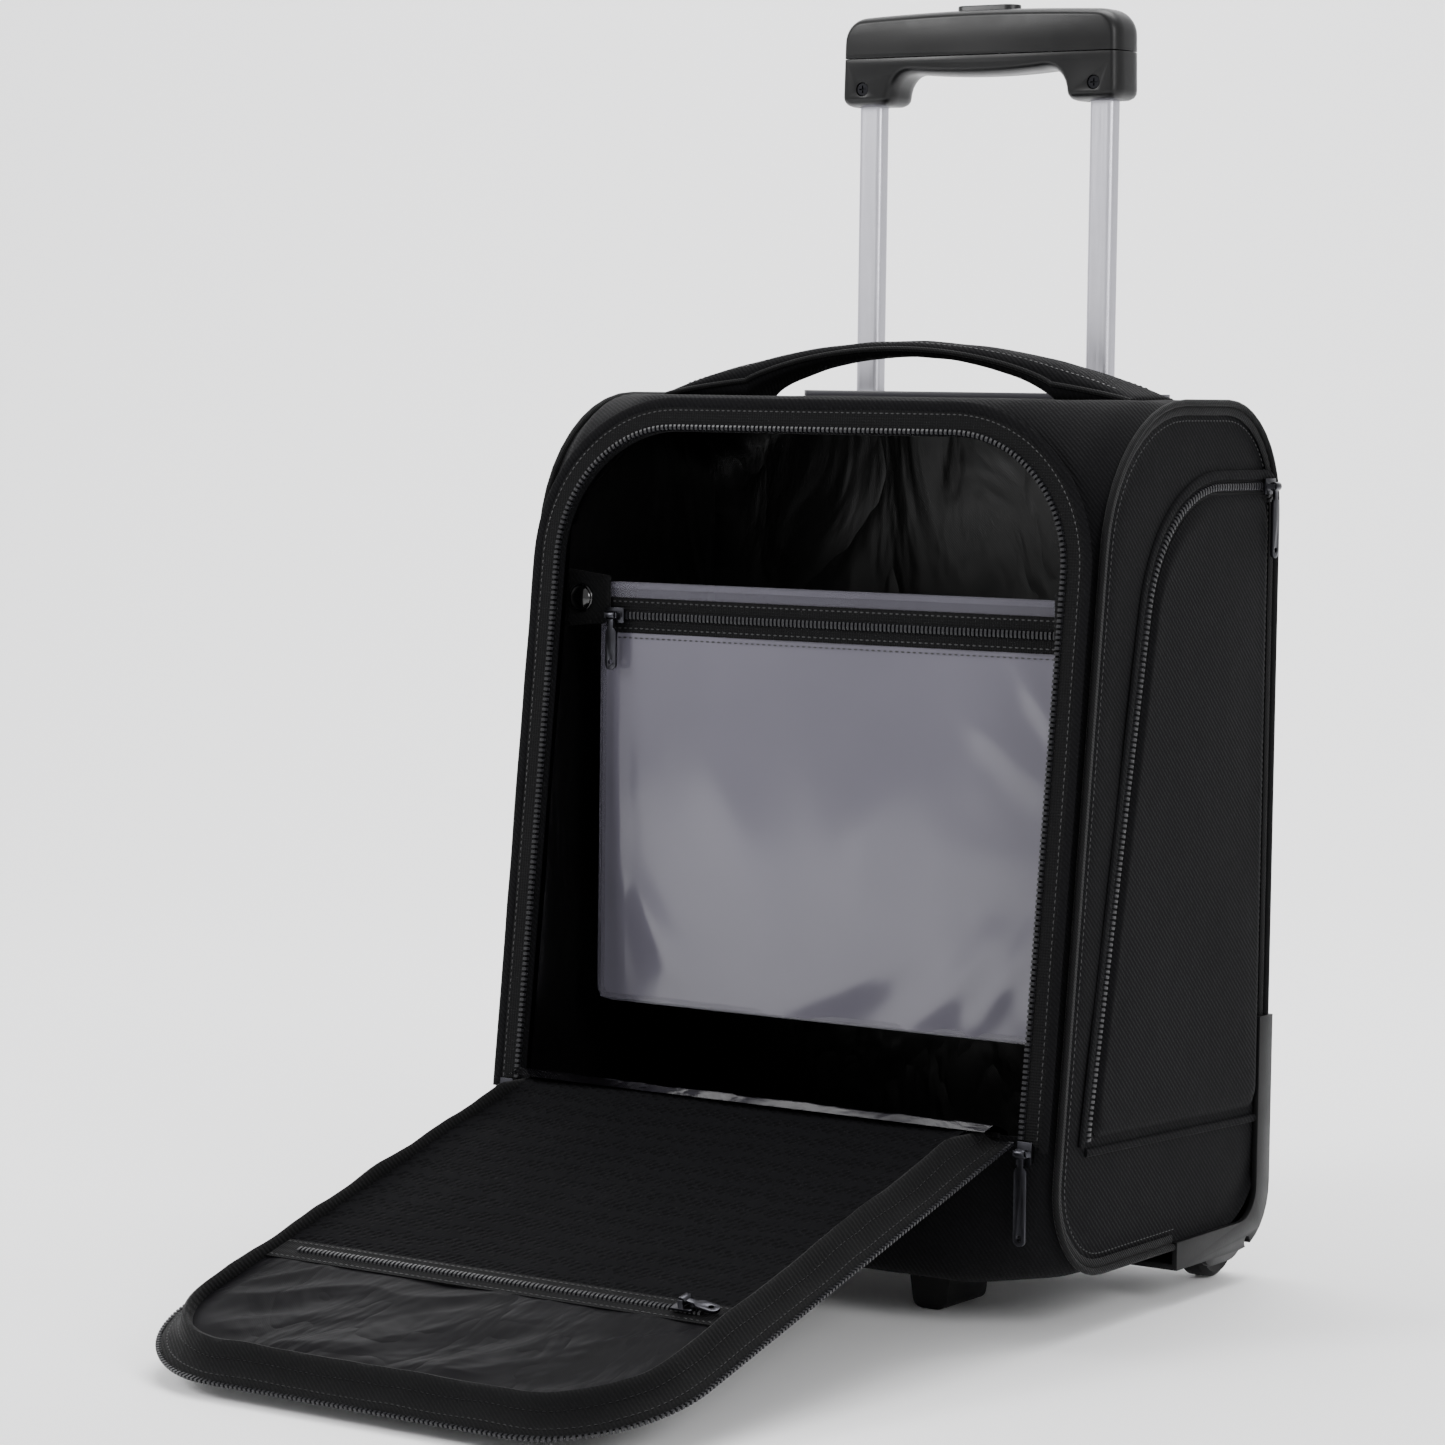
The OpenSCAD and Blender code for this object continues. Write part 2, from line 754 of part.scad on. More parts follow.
// Where the guard's screws go: two in its back and one under the case
module guard_holes() {
    for (x = [well_x0 - 12, x_side - 12]) translate([x, y_back + guard_t, guard_h - 14])
        rotate([90, 0, 0]) children();
    translate([x_side - 12, y_back - guard_l + 12, floor_gap - guard_t]) children();
}

module wheel_guard_left() {
    color("#232327") scale_x(-1) wheel_guard();
}

module wheel_guard_right() {
    color("#232327") wheel_guard();
}

module guard_screws() {
    color("#4a4a4d") both_sides() {
        for (x = [well_x0 - 12, x_side - 12]) translate([x, y_back + guard_t, guard_h - 14])
            rotate([-90, 0, 0]) {
                translate([0, 0, -guard_t]) cylinder(r = screw_r, h = guard_t + 0.1);
                cylinder(r = 3.2, h = 1.2);
            }
        translate([x_side - 12, y_back - guard_l + 12, floor_gap - guard_t]) {
            cylinder(r = screw_r, h = guard_t);
            translate([0, 0, -1.2]) cylinder(r = 3.2, h = 1.2);
        }
    }
}

module axles() {
    color("#9a9a9e") both_sides() translate([well_x0 - cheek_t, wheel_y, wheel_r]) rotate([0, 90, 0])
        cylinder(r = axle_r, h = well_x1 - well_x0 + 2 * cheek_t);
}

module wheel_hub() {
    translate([wheel_x, wheel_y, wheel_r]) rotate([0, 90, 0]) difference() {
        union() {
            cylinder(r = hub_r, h = wheel_w - 4, center = true);
            cylinder(r = axle_r + 4, h = wheel_w, center = true);
        }
        cylinder(r = axle_r + axle_fit, h = wheel_w + 2, center = true);
    }
}

module wheel_tyre() {
    tread = 2.5;
    translate([wheel_x, wheel_y, wheel_r]) rotate([0, 90, 0]) rotate_extrude($fn = 72)
        polygon([[hub_r, -wheel_w / 2 + 1], [wheel_r - tread, -wheel_w / 2], [wheel_r, -wheel_w / 2 + tread],
            [wheel_r, wheel_w / 2 - tread], [wheel_r - tread, wheel_w / 2], [hub_r, wheel_w / 2 - 1]]);
}

module wheel_hub_left() {
    color("#2e2e31") scale_x(-1) wheel_hub();
}

module wheel_tyre_left() {
    color("#151516") scale_x(-1) wheel_tyre();
}

module wheel_hub_right() {
    color("#2e2e31") wheel_hub();
}

module wheel_tyre_right() {
    color("#151516") wheel_tyre();
}

foot_flange = 2;
foot_ear = 8;

module front_feet() {
    color("#1f1f22") both_sides() translate([foot_x, y_back - foot_y, 0]) difference() {
        union() {
            along_y(-foot_l / 2, foot_l / 2) polygon(rounded(
                [[-foot_w / 2 + 3, 0], [foot_w / 2 - 3, 0],
                 [foot_w / 2, floor_gap], [-foot_w / 2, floor_gap]],
                [5, 5, 0, 0]));
            translate([0, 0, floor_gap - foot_flange]) linear_extrude(foot_flange)
                polygon(pill(foot_w + 4, foot_l + 2 * foot_ear, 5));
        }
        for (s = [-1, 1]) translate([0, s * (foot_l / 2 + foot_ear / 2), floor_gap - 10])
            cylinder(r = screw_r, h = 20);
    }
}

module foot_screws() {
    color("#4a4a4d") both_sides() translate([foot_x, y_back - foot_y, 0])
        for (s = [-1, 1]) translate([0, s * (foot_l / 2 + foot_ear / 2), 0]) {
            translate([0, 0, floor_gap - foot_flange - 0.1]) cylinder(r = screw_r, h = foot_flange);
            translate([0, 0, floor_gap - foot_flange - 1.3]) cylinder(r = 3, h = 1.2);
        }
}

// ---------------------------------------------------------------- side pocket
module side_pocket_panel() {
    color("#161617") along_x(x_side + 0.1, x_side + pocket_t)
        polygon(pocket_line((coil_w + slider_w) / 2 + slider_clear));
}

module side_pocket_zip() {
    color("#1b1b1c") along_x(x_side + 0.1, x_side + 0.1 + coil_t) difference() {
        polygon(pocket_line(0));
        polygon(pocket_line(coil_w));
        polygon([[y_back - pocket_reach + 30, 0], [y_back, 0], [y_back, pocket_top - coil_w - 6],
            [y_back - 60, pocket_top - coil_w - 6]]);
        translate([y_back - 300, 0]) square([300, pocket_low + coil_w + 1]);
    }
}

// The side slider's pull hangs from a pin that lies along Y
module at_side_slider() {
    translate([x_side + 0.1 + coil_t + slider_off, side_slider_y, pocket_top - coil_w / 2])
        rotate([0, 0, 90]) children();
}

module side_slider() {
    color("#2c2c2e") at_side_slider() slider_body(slider_l, slider_w);
}

side_pull_l = 36;

module side_pull() {
    color("#3a3a3c") at_side_slider() pull_body(side_pull_l);
}

// ---------------------------------------------------------------- pouch
module pouch_sheets() {
    color([0.46, 0.45, 0.5, 0.6]) along_y(pouch_front, pouch_front + pouch_t)
        translate([0, pouch_z + pouch_h / 2]) polygon(pill(pouch_w, pouch_h, 5));
}

module pouch_zip() {
    color("#18181a") {
        translate([-pouch_w / 2 + 2, pouch_front - 0.8, pouch_zip_z - 9]) cube([pouch_w - 4, 0.7, 18]);
        translate([-pouch_w / 2 + 4, pouch_front - 0.8 - coil_t, pouch_zip_z - coil_w / 2])
            cube([pouch_w - 8, coil_t, coil_w]);
    }
}

// A press stud's domed cap
module snap_cap() {
    rotate([90, 0, 0]) intersection() {
        translate([0, 0, -8]) sphere(r = 12);
        cylinder(r = 8, h = 5);
    }
}

snap_z = pouch_z + pouch_h - 8;

module pouch_snaps() {
    color("#0e0e0f") both_sides() translate([snap_x, pouch_front - 1.2, snap_z]) snap_cap();
}

module pouch_tabs() {
    color("#161617") both_sides()
        translate([pouch_w / 2 + 0.4, pouch_front - 1.2, snap_z - 12])
            cube([x_side - wall - 2 - pouch_w / 2 - 0.4, 1, 24]);
}

pouch_slider_x = -pouch_w / 2 + 10;
pouch_pin_y = pouch_front - 0.8 - coil_t - slider_off;
pouch_pull_l = 28;

module pouch_slider() {
    color("#2c2c2e") translate([pouch_slider_x, pouch_pin_y, pouch_zip_z])
        slider_body(slider_l, slider_w);
}

module pouch_pull() {
    color("#3a3a3c") translate([pouch_slider_x, pouch_pin_y, pouch_zip_z]) pull_body(pouch_pull_l);
}

// ---------------------------------------------------------------- flap
hinge_clear = 5;

module flap_panel() {
    bevel = 6;
    color("#161617") on_flap() hull() {
        along_y(-1, -eps) polygon(zip_line(-zip_gap / 2 - chain_w - 0.2, hinge_clear));
        along_y(-flap_out, -flap_out + 1) polygon(zip_line(-zip_gap / 2 - bevel, hinge_clear + bevel));
    }
}

module flap_board() {
    color("#0c0c0d") on_flap() along_y(0, board_t) polygon(zip_line(-skirt_w - 7, hinge_clear + 10));
}

module flap_lining() {
    color("#1a1a1d") on_flap() along_y(board_t, flap_in) polygon(zip_line(-skirt_w - 5, hinge_clear + 8));
}

module flap_rim() {
    color("#161617") on_flap() difference() {
        along_y(0, flap_in + rim_rise) polygon(zip_line(-skirt_w, hinge_clear + 12));
        along_y(-1, flap_in + rim_rise + 1) polygon(zip_line(-skirt_w - 4.8, hinge_clear));
    }
}

module flap_zip_chain() {
    color("#1b1b1c") on_flap() teeth_row(-zip_gap / 2 - chain_w, -zip_gap / 2, hinge_clear);
}

module mesh_pocket_zip() {
    color("#1b1b1c") on_flap()
        translate([-mesh_zip_w / 2, flap_in, mesh_zip_z - coil_w / 2]) cube([mesh_zip_w, coil_t, coil_w]);
}

// The mesh pocket's slider: on the lining's inner face, with its pin along the flap
module at_mesh_slider() {
    on_flap() translate([mesh_slider_x, flap_in + coil_t + slider_off, mesh_zip_z])
        rotate([0, 0, 180]) rotate([0, 90, 0]) children();
}

module mesh_slider() {
    color("#2c2c2e") at_mesh_slider() slider_body(slider_w, slider_l);
}

module mesh_pull() {
    color("#3a3a3c") at_mesh_slider() rotate([mesh_drop, 0, 0]) pull_body(mesh_pull_l);
}

// ---------------------------------------------------------------- pieces
side_panel_left();
side_panel_right();
top_panel();
back_panel();
bottom_panel();
front_lower_panel();
front_border_left();
front_border_right();
side_pipings();
back_board();
base_board();
interior_lining();
body_zip_chain();
hinge_tape();
main_slider_left();
main_slider_right();
carry_handle();
handle_bezel();
outer_tubes();
tube_bracket();
wheel_guard_left();
wheel_guard_right();
axles();
guard_screws();
front_feet();
foot_screws();
side_pocket_panel();
side_pocket_zip();
pouch_sheets();
pouch_zip();
pouch_snaps();
pouch_tabs();
flap_panel();
flap_board();
flap_lining();
flap_rim();
flap_zip_chain();
mesh_pocket_zip();
middle_tubes();
middle_glides();
inner_tubes();
grip_upper();
grip_lower();
grip_screws();
lock_plugs();
button_spring();
grip_button();
push_rods();
wheel_hub_left();
wheel_tyre_left();
wheel_hub_right();
wheel_tyre_right();
main_pull_left();
main_pull_right();
pouch_slider();
pouch_pull();
mesh_slider();
mesh_pull();
side_slider();
side_pull();
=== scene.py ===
"""The looks of a soft-sided rolling pilot case, open at the front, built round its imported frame."""

import json
import logging
import math
from dataclasses import dataclass, field
from enum import Enum
from typing import Callable, Iterable, Sequence

import bpy
import numpy as np
from mathutils import Matrix, Vector, noise


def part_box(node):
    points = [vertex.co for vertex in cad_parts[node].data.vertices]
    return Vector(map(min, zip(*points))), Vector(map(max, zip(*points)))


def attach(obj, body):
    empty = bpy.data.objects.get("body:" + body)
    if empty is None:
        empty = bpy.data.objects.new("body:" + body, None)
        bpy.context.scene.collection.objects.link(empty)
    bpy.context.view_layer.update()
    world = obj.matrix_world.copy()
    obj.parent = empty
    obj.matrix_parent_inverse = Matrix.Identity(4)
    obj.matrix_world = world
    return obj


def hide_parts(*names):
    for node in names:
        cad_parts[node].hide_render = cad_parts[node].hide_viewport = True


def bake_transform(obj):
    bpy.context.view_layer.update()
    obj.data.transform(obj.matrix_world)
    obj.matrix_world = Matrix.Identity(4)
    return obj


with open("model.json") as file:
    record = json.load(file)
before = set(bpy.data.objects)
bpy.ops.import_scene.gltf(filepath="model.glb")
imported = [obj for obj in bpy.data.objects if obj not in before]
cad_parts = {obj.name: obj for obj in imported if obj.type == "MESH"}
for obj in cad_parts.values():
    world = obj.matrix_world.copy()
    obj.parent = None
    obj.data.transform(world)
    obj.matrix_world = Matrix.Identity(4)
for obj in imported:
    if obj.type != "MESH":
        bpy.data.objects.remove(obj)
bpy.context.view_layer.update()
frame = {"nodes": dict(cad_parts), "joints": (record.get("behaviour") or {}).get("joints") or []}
log = logging.getLogger("pilot_case")

MM = 0.001
Socket = bpy.types.NodeSocket
Material = bpy.types.Material
Piece = bpy.types.Object
Outline = list[tuple[float, float]]


# ------------------------------------------------------------------ finishes
def linear(code: str) -> tuple[float, float, float, float]:
    """Turns an sRGB hex colour into linear light.

    Args:
        code: Six hex digits after a hash.

    Returns:
        Red, green, blue and alpha, for a shader.
    """
    parts = [int(code[i:i + 2], 16) / 255 for i in (1, 3, 5)]
    light = [c / 12.92 if c <= 0.04045 else ((c + 0.055) / 1.055) ** 2.4 for c in parts]
    return light[0], light[1], light[2], 1.0


def add_node(tree: bpy.types.NodeTree, kind: str, inputs: dict | None = None,
             **settings: object) -> bpy.types.Node:
    """Adds one node with its settings, values and links.

    Args:
        tree: The material's node tree.
        kind: The node's type, without its ShaderNode prefix.
        inputs: Input name or number to a value, or to the socket that feeds it.
        **settings: The node's own properties.

    Returns:
        The new node.
    """
    made = tree.nodes.new("ShaderNode" + kind)
    for key, value in settings.items():
        setattr(made, key, value)
    for key, value in (inputs or {}).items():
        if isinstance(value, Socket):
            tree.links.new(value, made.inputs[key])
        else:
            made.inputs[key].default_value = value
    return made


def bands(pitch_mm: float) -> float:
    """The Wave texture's scale that sets its bands this far apart along an axis."""
    return 2 * math.pi / (20 * pitch_mm * MM)


@dataclass(frozen=True)
class Finish:
    """What a surface is made of, and how its nodes are laid out."""

    name: str
    colour: str
    roughness: float

    def surface(self, tree: bpy.types.NodeTree, place: Socket) -> dict:
        """The shader's inputs, from a pattern over the piece's place."""
        return {}

    def material(self) -> Material:
        """Makes the material once, and hands the same one to every piece that wears it.

        Returns:
            The material.
        """
        found = bpy.data.materials.get(self.name)
        if found:
            return found
        made = bpy.data.materials.new(self.name)
        made.use_nodes = True
        tree = made.node_tree
        tree.nodes.clear()
        place = add_node(tree, "TexCoord").outputs["Object"]
        inputs = {"Base Color": linear(self.colour), "Roughness": self.roughness}
        inputs.update(self.surface(tree, place))
        shader = add_node(tree, "BsdfPrincipled", inputs)
        add_node(tree, "OutputMaterial", {"Surface": shader.outputs[0]})
        return made


@dataclass(frozen=True)
class WovenPolyester(Finish):
    """Plain black polyester, woven from dull yarn: a fine diagonal grain, soft dents and a faint sheen."""

    dark: str = "#040405"
    thread_mm: float = 2.0
    depth: float = 0.6
    sheen: float = 0.04

    def surface(self, tree: bpy.types.NodeTree, place: Socket) -> dict:
        """Weave, dents and dust over the cloth.

        Args:
            tree: The material's node tree.
            place: Where on the piece.

        Returns:
            The shader's inputs.
        """
        # The real thread is 0.5 mm; it is drawn at thread_mm so that the grain still shows at arm's length.
        rough_place = add_node(tree, "VectorMath", {0: place, 1: (1.0, 0.86, 0.93)}, operation="MULTIPLY")
        twill = add_node(tree, "TexWave",
                         {"Vector": rough_place.outputs[0], "Scale": bands(self.thread_mm) * 1.41,
                                           "Distortion": 1.2, "Detail": 2.0, "Detail Scale": 2.0},
                         wave_type="BANDS", bands_direction="DIAGONAL")
        cross = add_node(tree, "TexNoise", {"Vector": place, "Scale": 900.0, "Detail": 2.0})
        grain = add_node(tree, "Math", {0: twill.outputs["Fac"], 1: cross.outputs["Fac"]},
                         operation="MULTIPLY")
        dents = add_node(tree, "TexNoise", {"Vector": place, "Scale": 26.0, "Detail": 3.0, "Roughness": 0.55})
        dust = add_node(tree, "TexNoise", {"Vector": place, "Scale": 9.0, "Detail": 4.0})
        tone = add_node(tree, "Math", {0: grain.outputs[0], 1: dust.outputs["Fac"]}, operation="ADD")
        low = add_node(tree, "Bump", {"Height": dents.outputs["Fac"], "Strength": 0.22, "Distance": 0.004})
        fine = add_node(tree, "Bump", {"Height": grain.outputs[0], "Strength": self.depth, "Distance": 0.0006,
                                       "Normal": low.outputs[0]})
        rough = add_node(tree, "MapRange", {"Value": grain.outputs[0], "To Min": self.roughness + 0.1,
                                            "To Max": self.roughness - 0.06})
        tint = add_node(tree, "Mix", {0: tone.outputs[0], 6: linear(self.dark), 7: linear(self.colour)},
                        data_type="RGBA")
        return {"Base Color": tint.outputs[2], "Normal": fine.outputs[0],
                "Roughness": rough.outputs[0], "Sheen Weight": self.sheen, "Sheen Roughness": 0.45,
                "Specular IOR Level": 0.1}


@dataclass(frozen=True)
class CoatedNylon(Finish):
    """Thin nylon with a calendered back: tight crumples with long bright edges on near black, the colour itself
    going lighter and darker along the crumples as painted highlight and shade.
    """

    dark: str = "#050506"
    crumple_mm: float = 34.0
    strength: float = 0.75
    slant: tuple[float, float, float] = (1.0, 1.0, 0.45)
    gloss: float = 0.45

    def surface(self, tree: bpy.types.NodeTree, place: Socket) -> dict:
        """Crumples and fine thread over thin cloth, with painted highlight and shade along the crumples.

        Args:
            tree: The material's node tree.
            place: Where on the piece.

        Returns:
            The shader's inputs.
        """
        turned = add_node(tree, "Mapping",
                          {"Vector": place, "Rotation": (0.5, 0.35, 0.6), "Scale": self.slant})
        folds = add_node(tree, "TexNoise", {"Vector": turned.outputs[0], "Scale": 1000 / self.crumple_mm,
                                            "Detail": 3.0, "Roughness": 0.45, "Distortion": 1.1})
        ridge = add_node(tree, "Math", {0: folds.outputs["Fac"], 1: 0.5}, operation="SUBTRACT")
        crest = add_node(tree, "Math", {0: ridge.outputs[0]}, operation="ABSOLUTE")
        # Threads 0.3 mm apart are drawn at 1 mm, as a faint grain.
        thread = add_node(tree, "TexWave", {"Vector": place, "Scale": bands(1.0) * 1.4, "Distortion": 0.6},
                          wave_type="BANDS", bands_direction="DIAGONAL")
        wide = add_node(tree, "Bump",
                        {"Height": crest.outputs[0], "Strength": self.strength, "Distance": 0.02})
        fine = add_node(tree, "Bump", {"Height": thread.outputs["Fac"], "Strength": 0.08, "Distance": 0.0004,
                                       "Normal": wide.outputs[0]})
        # Painted highlight and shade: the base colour goes light and dark with the same crumple noise that
        # bends the normals.
        tint = add_node(tree, "Mix", {0: folds.outputs["Fac"], 6: linear(self.dark), 7: linear(self.colour)},
                        data_type="RGBA")
        return {"Base Color": tint.outputs[2], "Normal": fine.outputs[0],
                "Specular IOR Level": self.gloss}


@dataclass(frozen=True)
class KnitMesh(Finish):
    """Warp-knitted polyester mesh: rows of small open cells over a darker cloth."""

    cell_mm: float = 4.0

    def surface(self, tree: bpy.types.NodeTree, place: Socket) -> dict:
        """Cells in rows, with soft waves.

        Args:
            tree: The material's node tree.
            place: Where on the piece.

        Returns:
            The shader's inputs.
        """
        # Real cells are 1.5 mm; they are drawn twice as large so that the knit still reads.
        rake = add_node(tree, "Mapping", {"Vector": place, "Rotation": (0.0, 0.0, 0.6)})
        cells = add_node(tree, "TexVoronoi",
                         {"Vector": rake.outputs[0], "Scale": 1000 / self.cell_mm, "Randomness": 0.35})
        open_cell = add_node(tree, "MapRange", {"Value": cells.outputs["Distance"], "From Min": 0.18,
                                                "From Max": 0.5})
        waves = add_node(tree, "TexNoise", {"Vector": place, "Scale": 16.0, "Detail": 2.0})
        low = add_node(tree, "Bump", {"Height": waves.outputs["Fac"], "Strength": 0.3, "Distance": 0.008})
        fine = add_node(tree, "Bump", {"Height": open_cell.outputs[0], "Strength": 0.7, "Distance": 0.0012,
                                       "Normal": low.outputs[0]})
        tint = add_node(tree, "Mix", {0: open_cell.outputs[0], 6: linear("#040405"), 7: linear(self.colour)},
                        data_type="RGBA")
        return {"Base Color": tint.outputs[2],
                "Normal": fine.outputs[0], "Specular IOR Level": 0.06}


@dataclass(frozen=True)
class ClearVinyl(Finish):
    """Plasticised PVC sheet, calendered: hazy grey-violet, soft highlights and shallow ripples."""

    haze: float = 0.6

    def surface(self, tree: bpy.types.NodeTree, place: Socket) -> dict:
        """Ripples and cloudiness in clear sheet.

        Args:
            tree: The material's node tree.
            place: Where on the piece.

        Returns:
            The shader's inputs.
        """
        stretched = add_node(tree, "Mapping", {"Vector": place, "Rotation": (0.0, 0.65, 0.0),
                                               "Scale": (1.0, 1.0, 0.3)})
        ripple = add_node(tree, "TexNoise", {"Vector": stretched.outputs[0], "Scale": 15.0, "Detail": 2.0,
                                             "Distortion": 0.5})
        cloud = add_node(tree, "TexNoise", {"Vector": place, "Scale": 5.0, "Detail": 3.0})
        bump = add_node(tree, "Bump", {"Height": ripple.outputs["Fac"], "Strength": 0.35, "Distance": 0.01})
        tint = add_node(tree, "Mix", {0: cloud.outputs["Fac"], 6: linear("#55535e"), 7: linear(self.colour)},
                        data_type="RGBA")
        return {"Base Color": tint.outputs[2],
                "Normal": bump.outputs[0], "Alpha": self.haze, "IOR": 1.53, "Coat Weight": 0.3,
                "Coat Roughness": 0.12}


@dataclass(frozen=True)
class ZipTape(Finish):
    """Woven polyester zip tape: fine ribs, a little brighter than the cloth beside it."""

    rib_mm: float = 1.4

    def surface(self, tree: bpy.types.NodeTree, place: Socket) -> dict:
        """Ribs both ways, for a basket weave.

        Args:
            tree: The material's node tree.
            place: Where on the piece.

        Returns:
            The shader's inputs.
        """
        # Real ribs are 0.6 mm apart; drawn at rib_mm so that the tape doesn't go flat.
        up = add_node(tree, "TexWave", {"Vector": place, "Scale": bands(self.rib_mm)}, bands_direction="Z")
        along = add_node(tree, "TexWave", {"Vector": place, "Scale": bands(self.rib_mm)}, bands_direction="X")
        both = add_node(tree, "Math", {0: up.outputs["Fac"], 1: along.outputs["Fac"]}, operation="ADD")
        bump = add_node(tree, "Bump", {"Height": both.outputs[0], "Strength": 0.35, "Distance": 0.0005})
        tint = add_node(tree, "Mix", {0: both.outputs[0], 6: linear("#050506"), 7: linear(self.colour)},
                        data_type="RGBA")
        return {"Base Color": tint.outputs[2], "Normal": bump.outputs[0],
                "Specular IOR Level": 0.1}


@dataclass(frozen=True)
class Moulded(Finish):
    """Injection-moulded plastic: even colour, a spark-eroded grain and slightly rubbed patches."""

    grain_mm: float = 0.9
    grain: float = 0.12
    gloss: float = 0.5

    def surface(self, tree: bpy.types.NodeTree, place: Socket) -> dict:
        """Mould grain and handling marks.

        Args:
            tree: The material's node tree.
            place: Where on the piece.

        Returns:
            The shader's inputs.
        """
        # The real grain is 0.1 mm; it is drawn at grain_mm so that it breaks up the highlight.
        speck = add_node(tree, "TexNoise", {"Vector": place, "Scale": 1000 / self.grain_mm, "Detail": 2.0})
        rubbed = add_node(tree, "TexNoise", {"Vector": place, "Scale": 22.0, "Detail": 4.0, "Roughness": 0.6})
        rough = add_node(tree, "MapRange", {"Value": rubbed.outputs["Fac"], "From Min": 0.3, "From Max": 0.7,
                                            "To Min": self.roughness - 0.07, "To Max": self.roughness + 0.08})
        bump = add_node(tree, "Bump",
                        {"Height": speck.outputs["Fac"], "Strength": self.grain, "Distance": 0.0003})
        return {"Roughness": rough.outputs[0], "Normal": bump.outputs[0], "Specular IOR Level": self.gloss}


@dataclass(frozen=True)
class Metal(Finish):
    """Drawn or turned metal: fine lines along one direction, softening its reflections."""

    line_mm: float = 0.7
    stretch: tuple[float, float, float] = (1.0, 1.0, 0.02)
    worn: str = "#8f8e94"

    def surface(self, tree: bpy.types.NodeTree, place: Socket) -> dict:
        """Drawing lines and small marks.

        Args:
            tree: The material's node tree.
            place: Where on the piece.

        Returns:
            The shader's inputs.
        """
        # Drawing lines of 0.05 mm are spread to line_mm, which is what the eye reads as brushed.
        drawn = add_node(tree, "VectorMath", {0: place, 1: self.stretch}, operation="MULTIPLY")
        lines = add_node(tree, "TexNoise",
                         {"Vector": drawn.outputs[0], "Scale": 1000 / self.line_mm, "Detail": 2.0})
        marks = add_node(tree, "TexNoise", {"Vector": place, "Scale": 40.0, "Detail": 5.0, "Roughness": 0.7})
        rough = add_node(tree, "MapRange", {"Value": lines.outputs["Fac"], "To Min": self.roughness - 0.06,
                                            "To Max": self.roughness + 0.1})
        bump = add_node(tree, "Bump", {"Height": lines.outputs["Fac"], "Strength": 0.05, "Distance": 0.0002})
        tint = add_node(tree, "Mix", {0: marks.outputs["Fac"], 6: linear(self.worn), 7: linear(self.colour)},
                        data_type="RGBA")
        return {"Base Color": tint.outputs[2], "Metallic": 1.0,
                "Roughness": rough.outputs[0], "Normal": bump.outputs[0]}


class Wear(Enum):
    """Every finish on the case."""

    SHELL = WovenPolyester("woven_polyester_shell", "#0b0b0d", 0.82, sheen=0.015)
    PIPING = WovenPolyester("woven_polyester_piping", "#0f0f10", 0.66, thread_mm=1.1, depth=0.5, sheen=0.06)
    SKIRT = WovenPolyester("woven_polyester_skirt", "#0a0a0b", 0.74, thread_mm=1.9, depth=0.6, sheen=0.05)
    LINING = CoatedNylon("calendered_nylon_lining", "#070708", 0.3, "#030303", 60.0, 0.3)
    HINGE_LINING = CoatedNylon("calendered_nylon_hinge_strip", "#09080a", 0.12, "#050506", 34.0, 0.15)
    END_LINING = CoatedNylon("calendered_nylon_flap_end", "#100f12", 0.5, "#060607", 52.0, 0.4,
                             (1.0, 0.5, 1.0), 0.05)
    KNIT = KnitMesh("warp_knit_mesh", "#09090b", 0.88)
    VINYL = ClearVinyl("calendered_vinyl_sheet", "#74717d", 0.14, 0.85)
    CLEAR = ClearVinyl("calendered_vinyl_clear_strip", "#6f6d78", 0.14, 0.4)
    TAPE = ZipTape("woven_zip_tape", "#0c0c0d", 0.72)
    COIL = Moulded("polyester_coil_zip_teeth", "#1a1a1d", 0.36, 0.6, 0.1, 0.35)
    THREAD = Moulded("bonded_nylon_thread", "#131315", 0.5, 0.4, 0.2)
    SLIDER = Metal("black_enamelled_zinc", "#4b4b50", 0.3, 0.9, (1.0, 1.0, 1.0), "#2b2b2f")
    GRIP = Moulded("moulded_abs_grip", "#070708", 0.36, 0.7, 0.08, 0.3)
    BUTTON = Moulded("moulded_abs_button", "#111113", 0.36, 0.7, 0.1, 0.4)
    BEZEL = Moulded("moulded_polypropylene_bezel", "#3a393f", 0.42, 0.8, 0.14)
    INNER = Moulded("moulded_acetal_inner_parts", "#121214", 0.5)
    GUARD = Moulded("moulded_polypropylene_guard", "#0a0a0b", 0.45, 0.9, 0.2, 0.25)
    HUB = Moulded("moulded_nylon_hub", "#1c1c1f", 0.5)
    TYRE = Moulded("thermoplastic_rubber_tyre", "#0d0d0e", 0.7, 1.2, 0.35, 0.3)
    SNAP = Moulded("polished_acetal_snap", "#060607", 0.1, 0.8, 0.02, 0.7)
    BOARD = Moulded("extruded_polyethylene_board", "#0d0d0e", 0.6, 1.5, 0.2)
    TUBE = Metal("satin_anodised_aluminium", "#dfdee6", 0.3, worn="#cdccd6")
    ROD = Metal("drawn_aluminium_rod", "#b9b9bd", 0.35)
    STEEL = Metal("zinc_plated_steel", "#aeaeb0", 0.38, 0.8, (1.0, 1.0, 1.0), "#8b8b8f")
    SCREW = Metal("black_oxide_screw_steel", "#2b2b2e", 0.42, 0.8, (1.0, 1.0, 1.0), "#161618")
    SPRING = Metal("music_wire_spring", "#8d8d92", 0.34)

    def material(self) -> Material:
        """The Blender material of this finish."""
        return self.value.material()


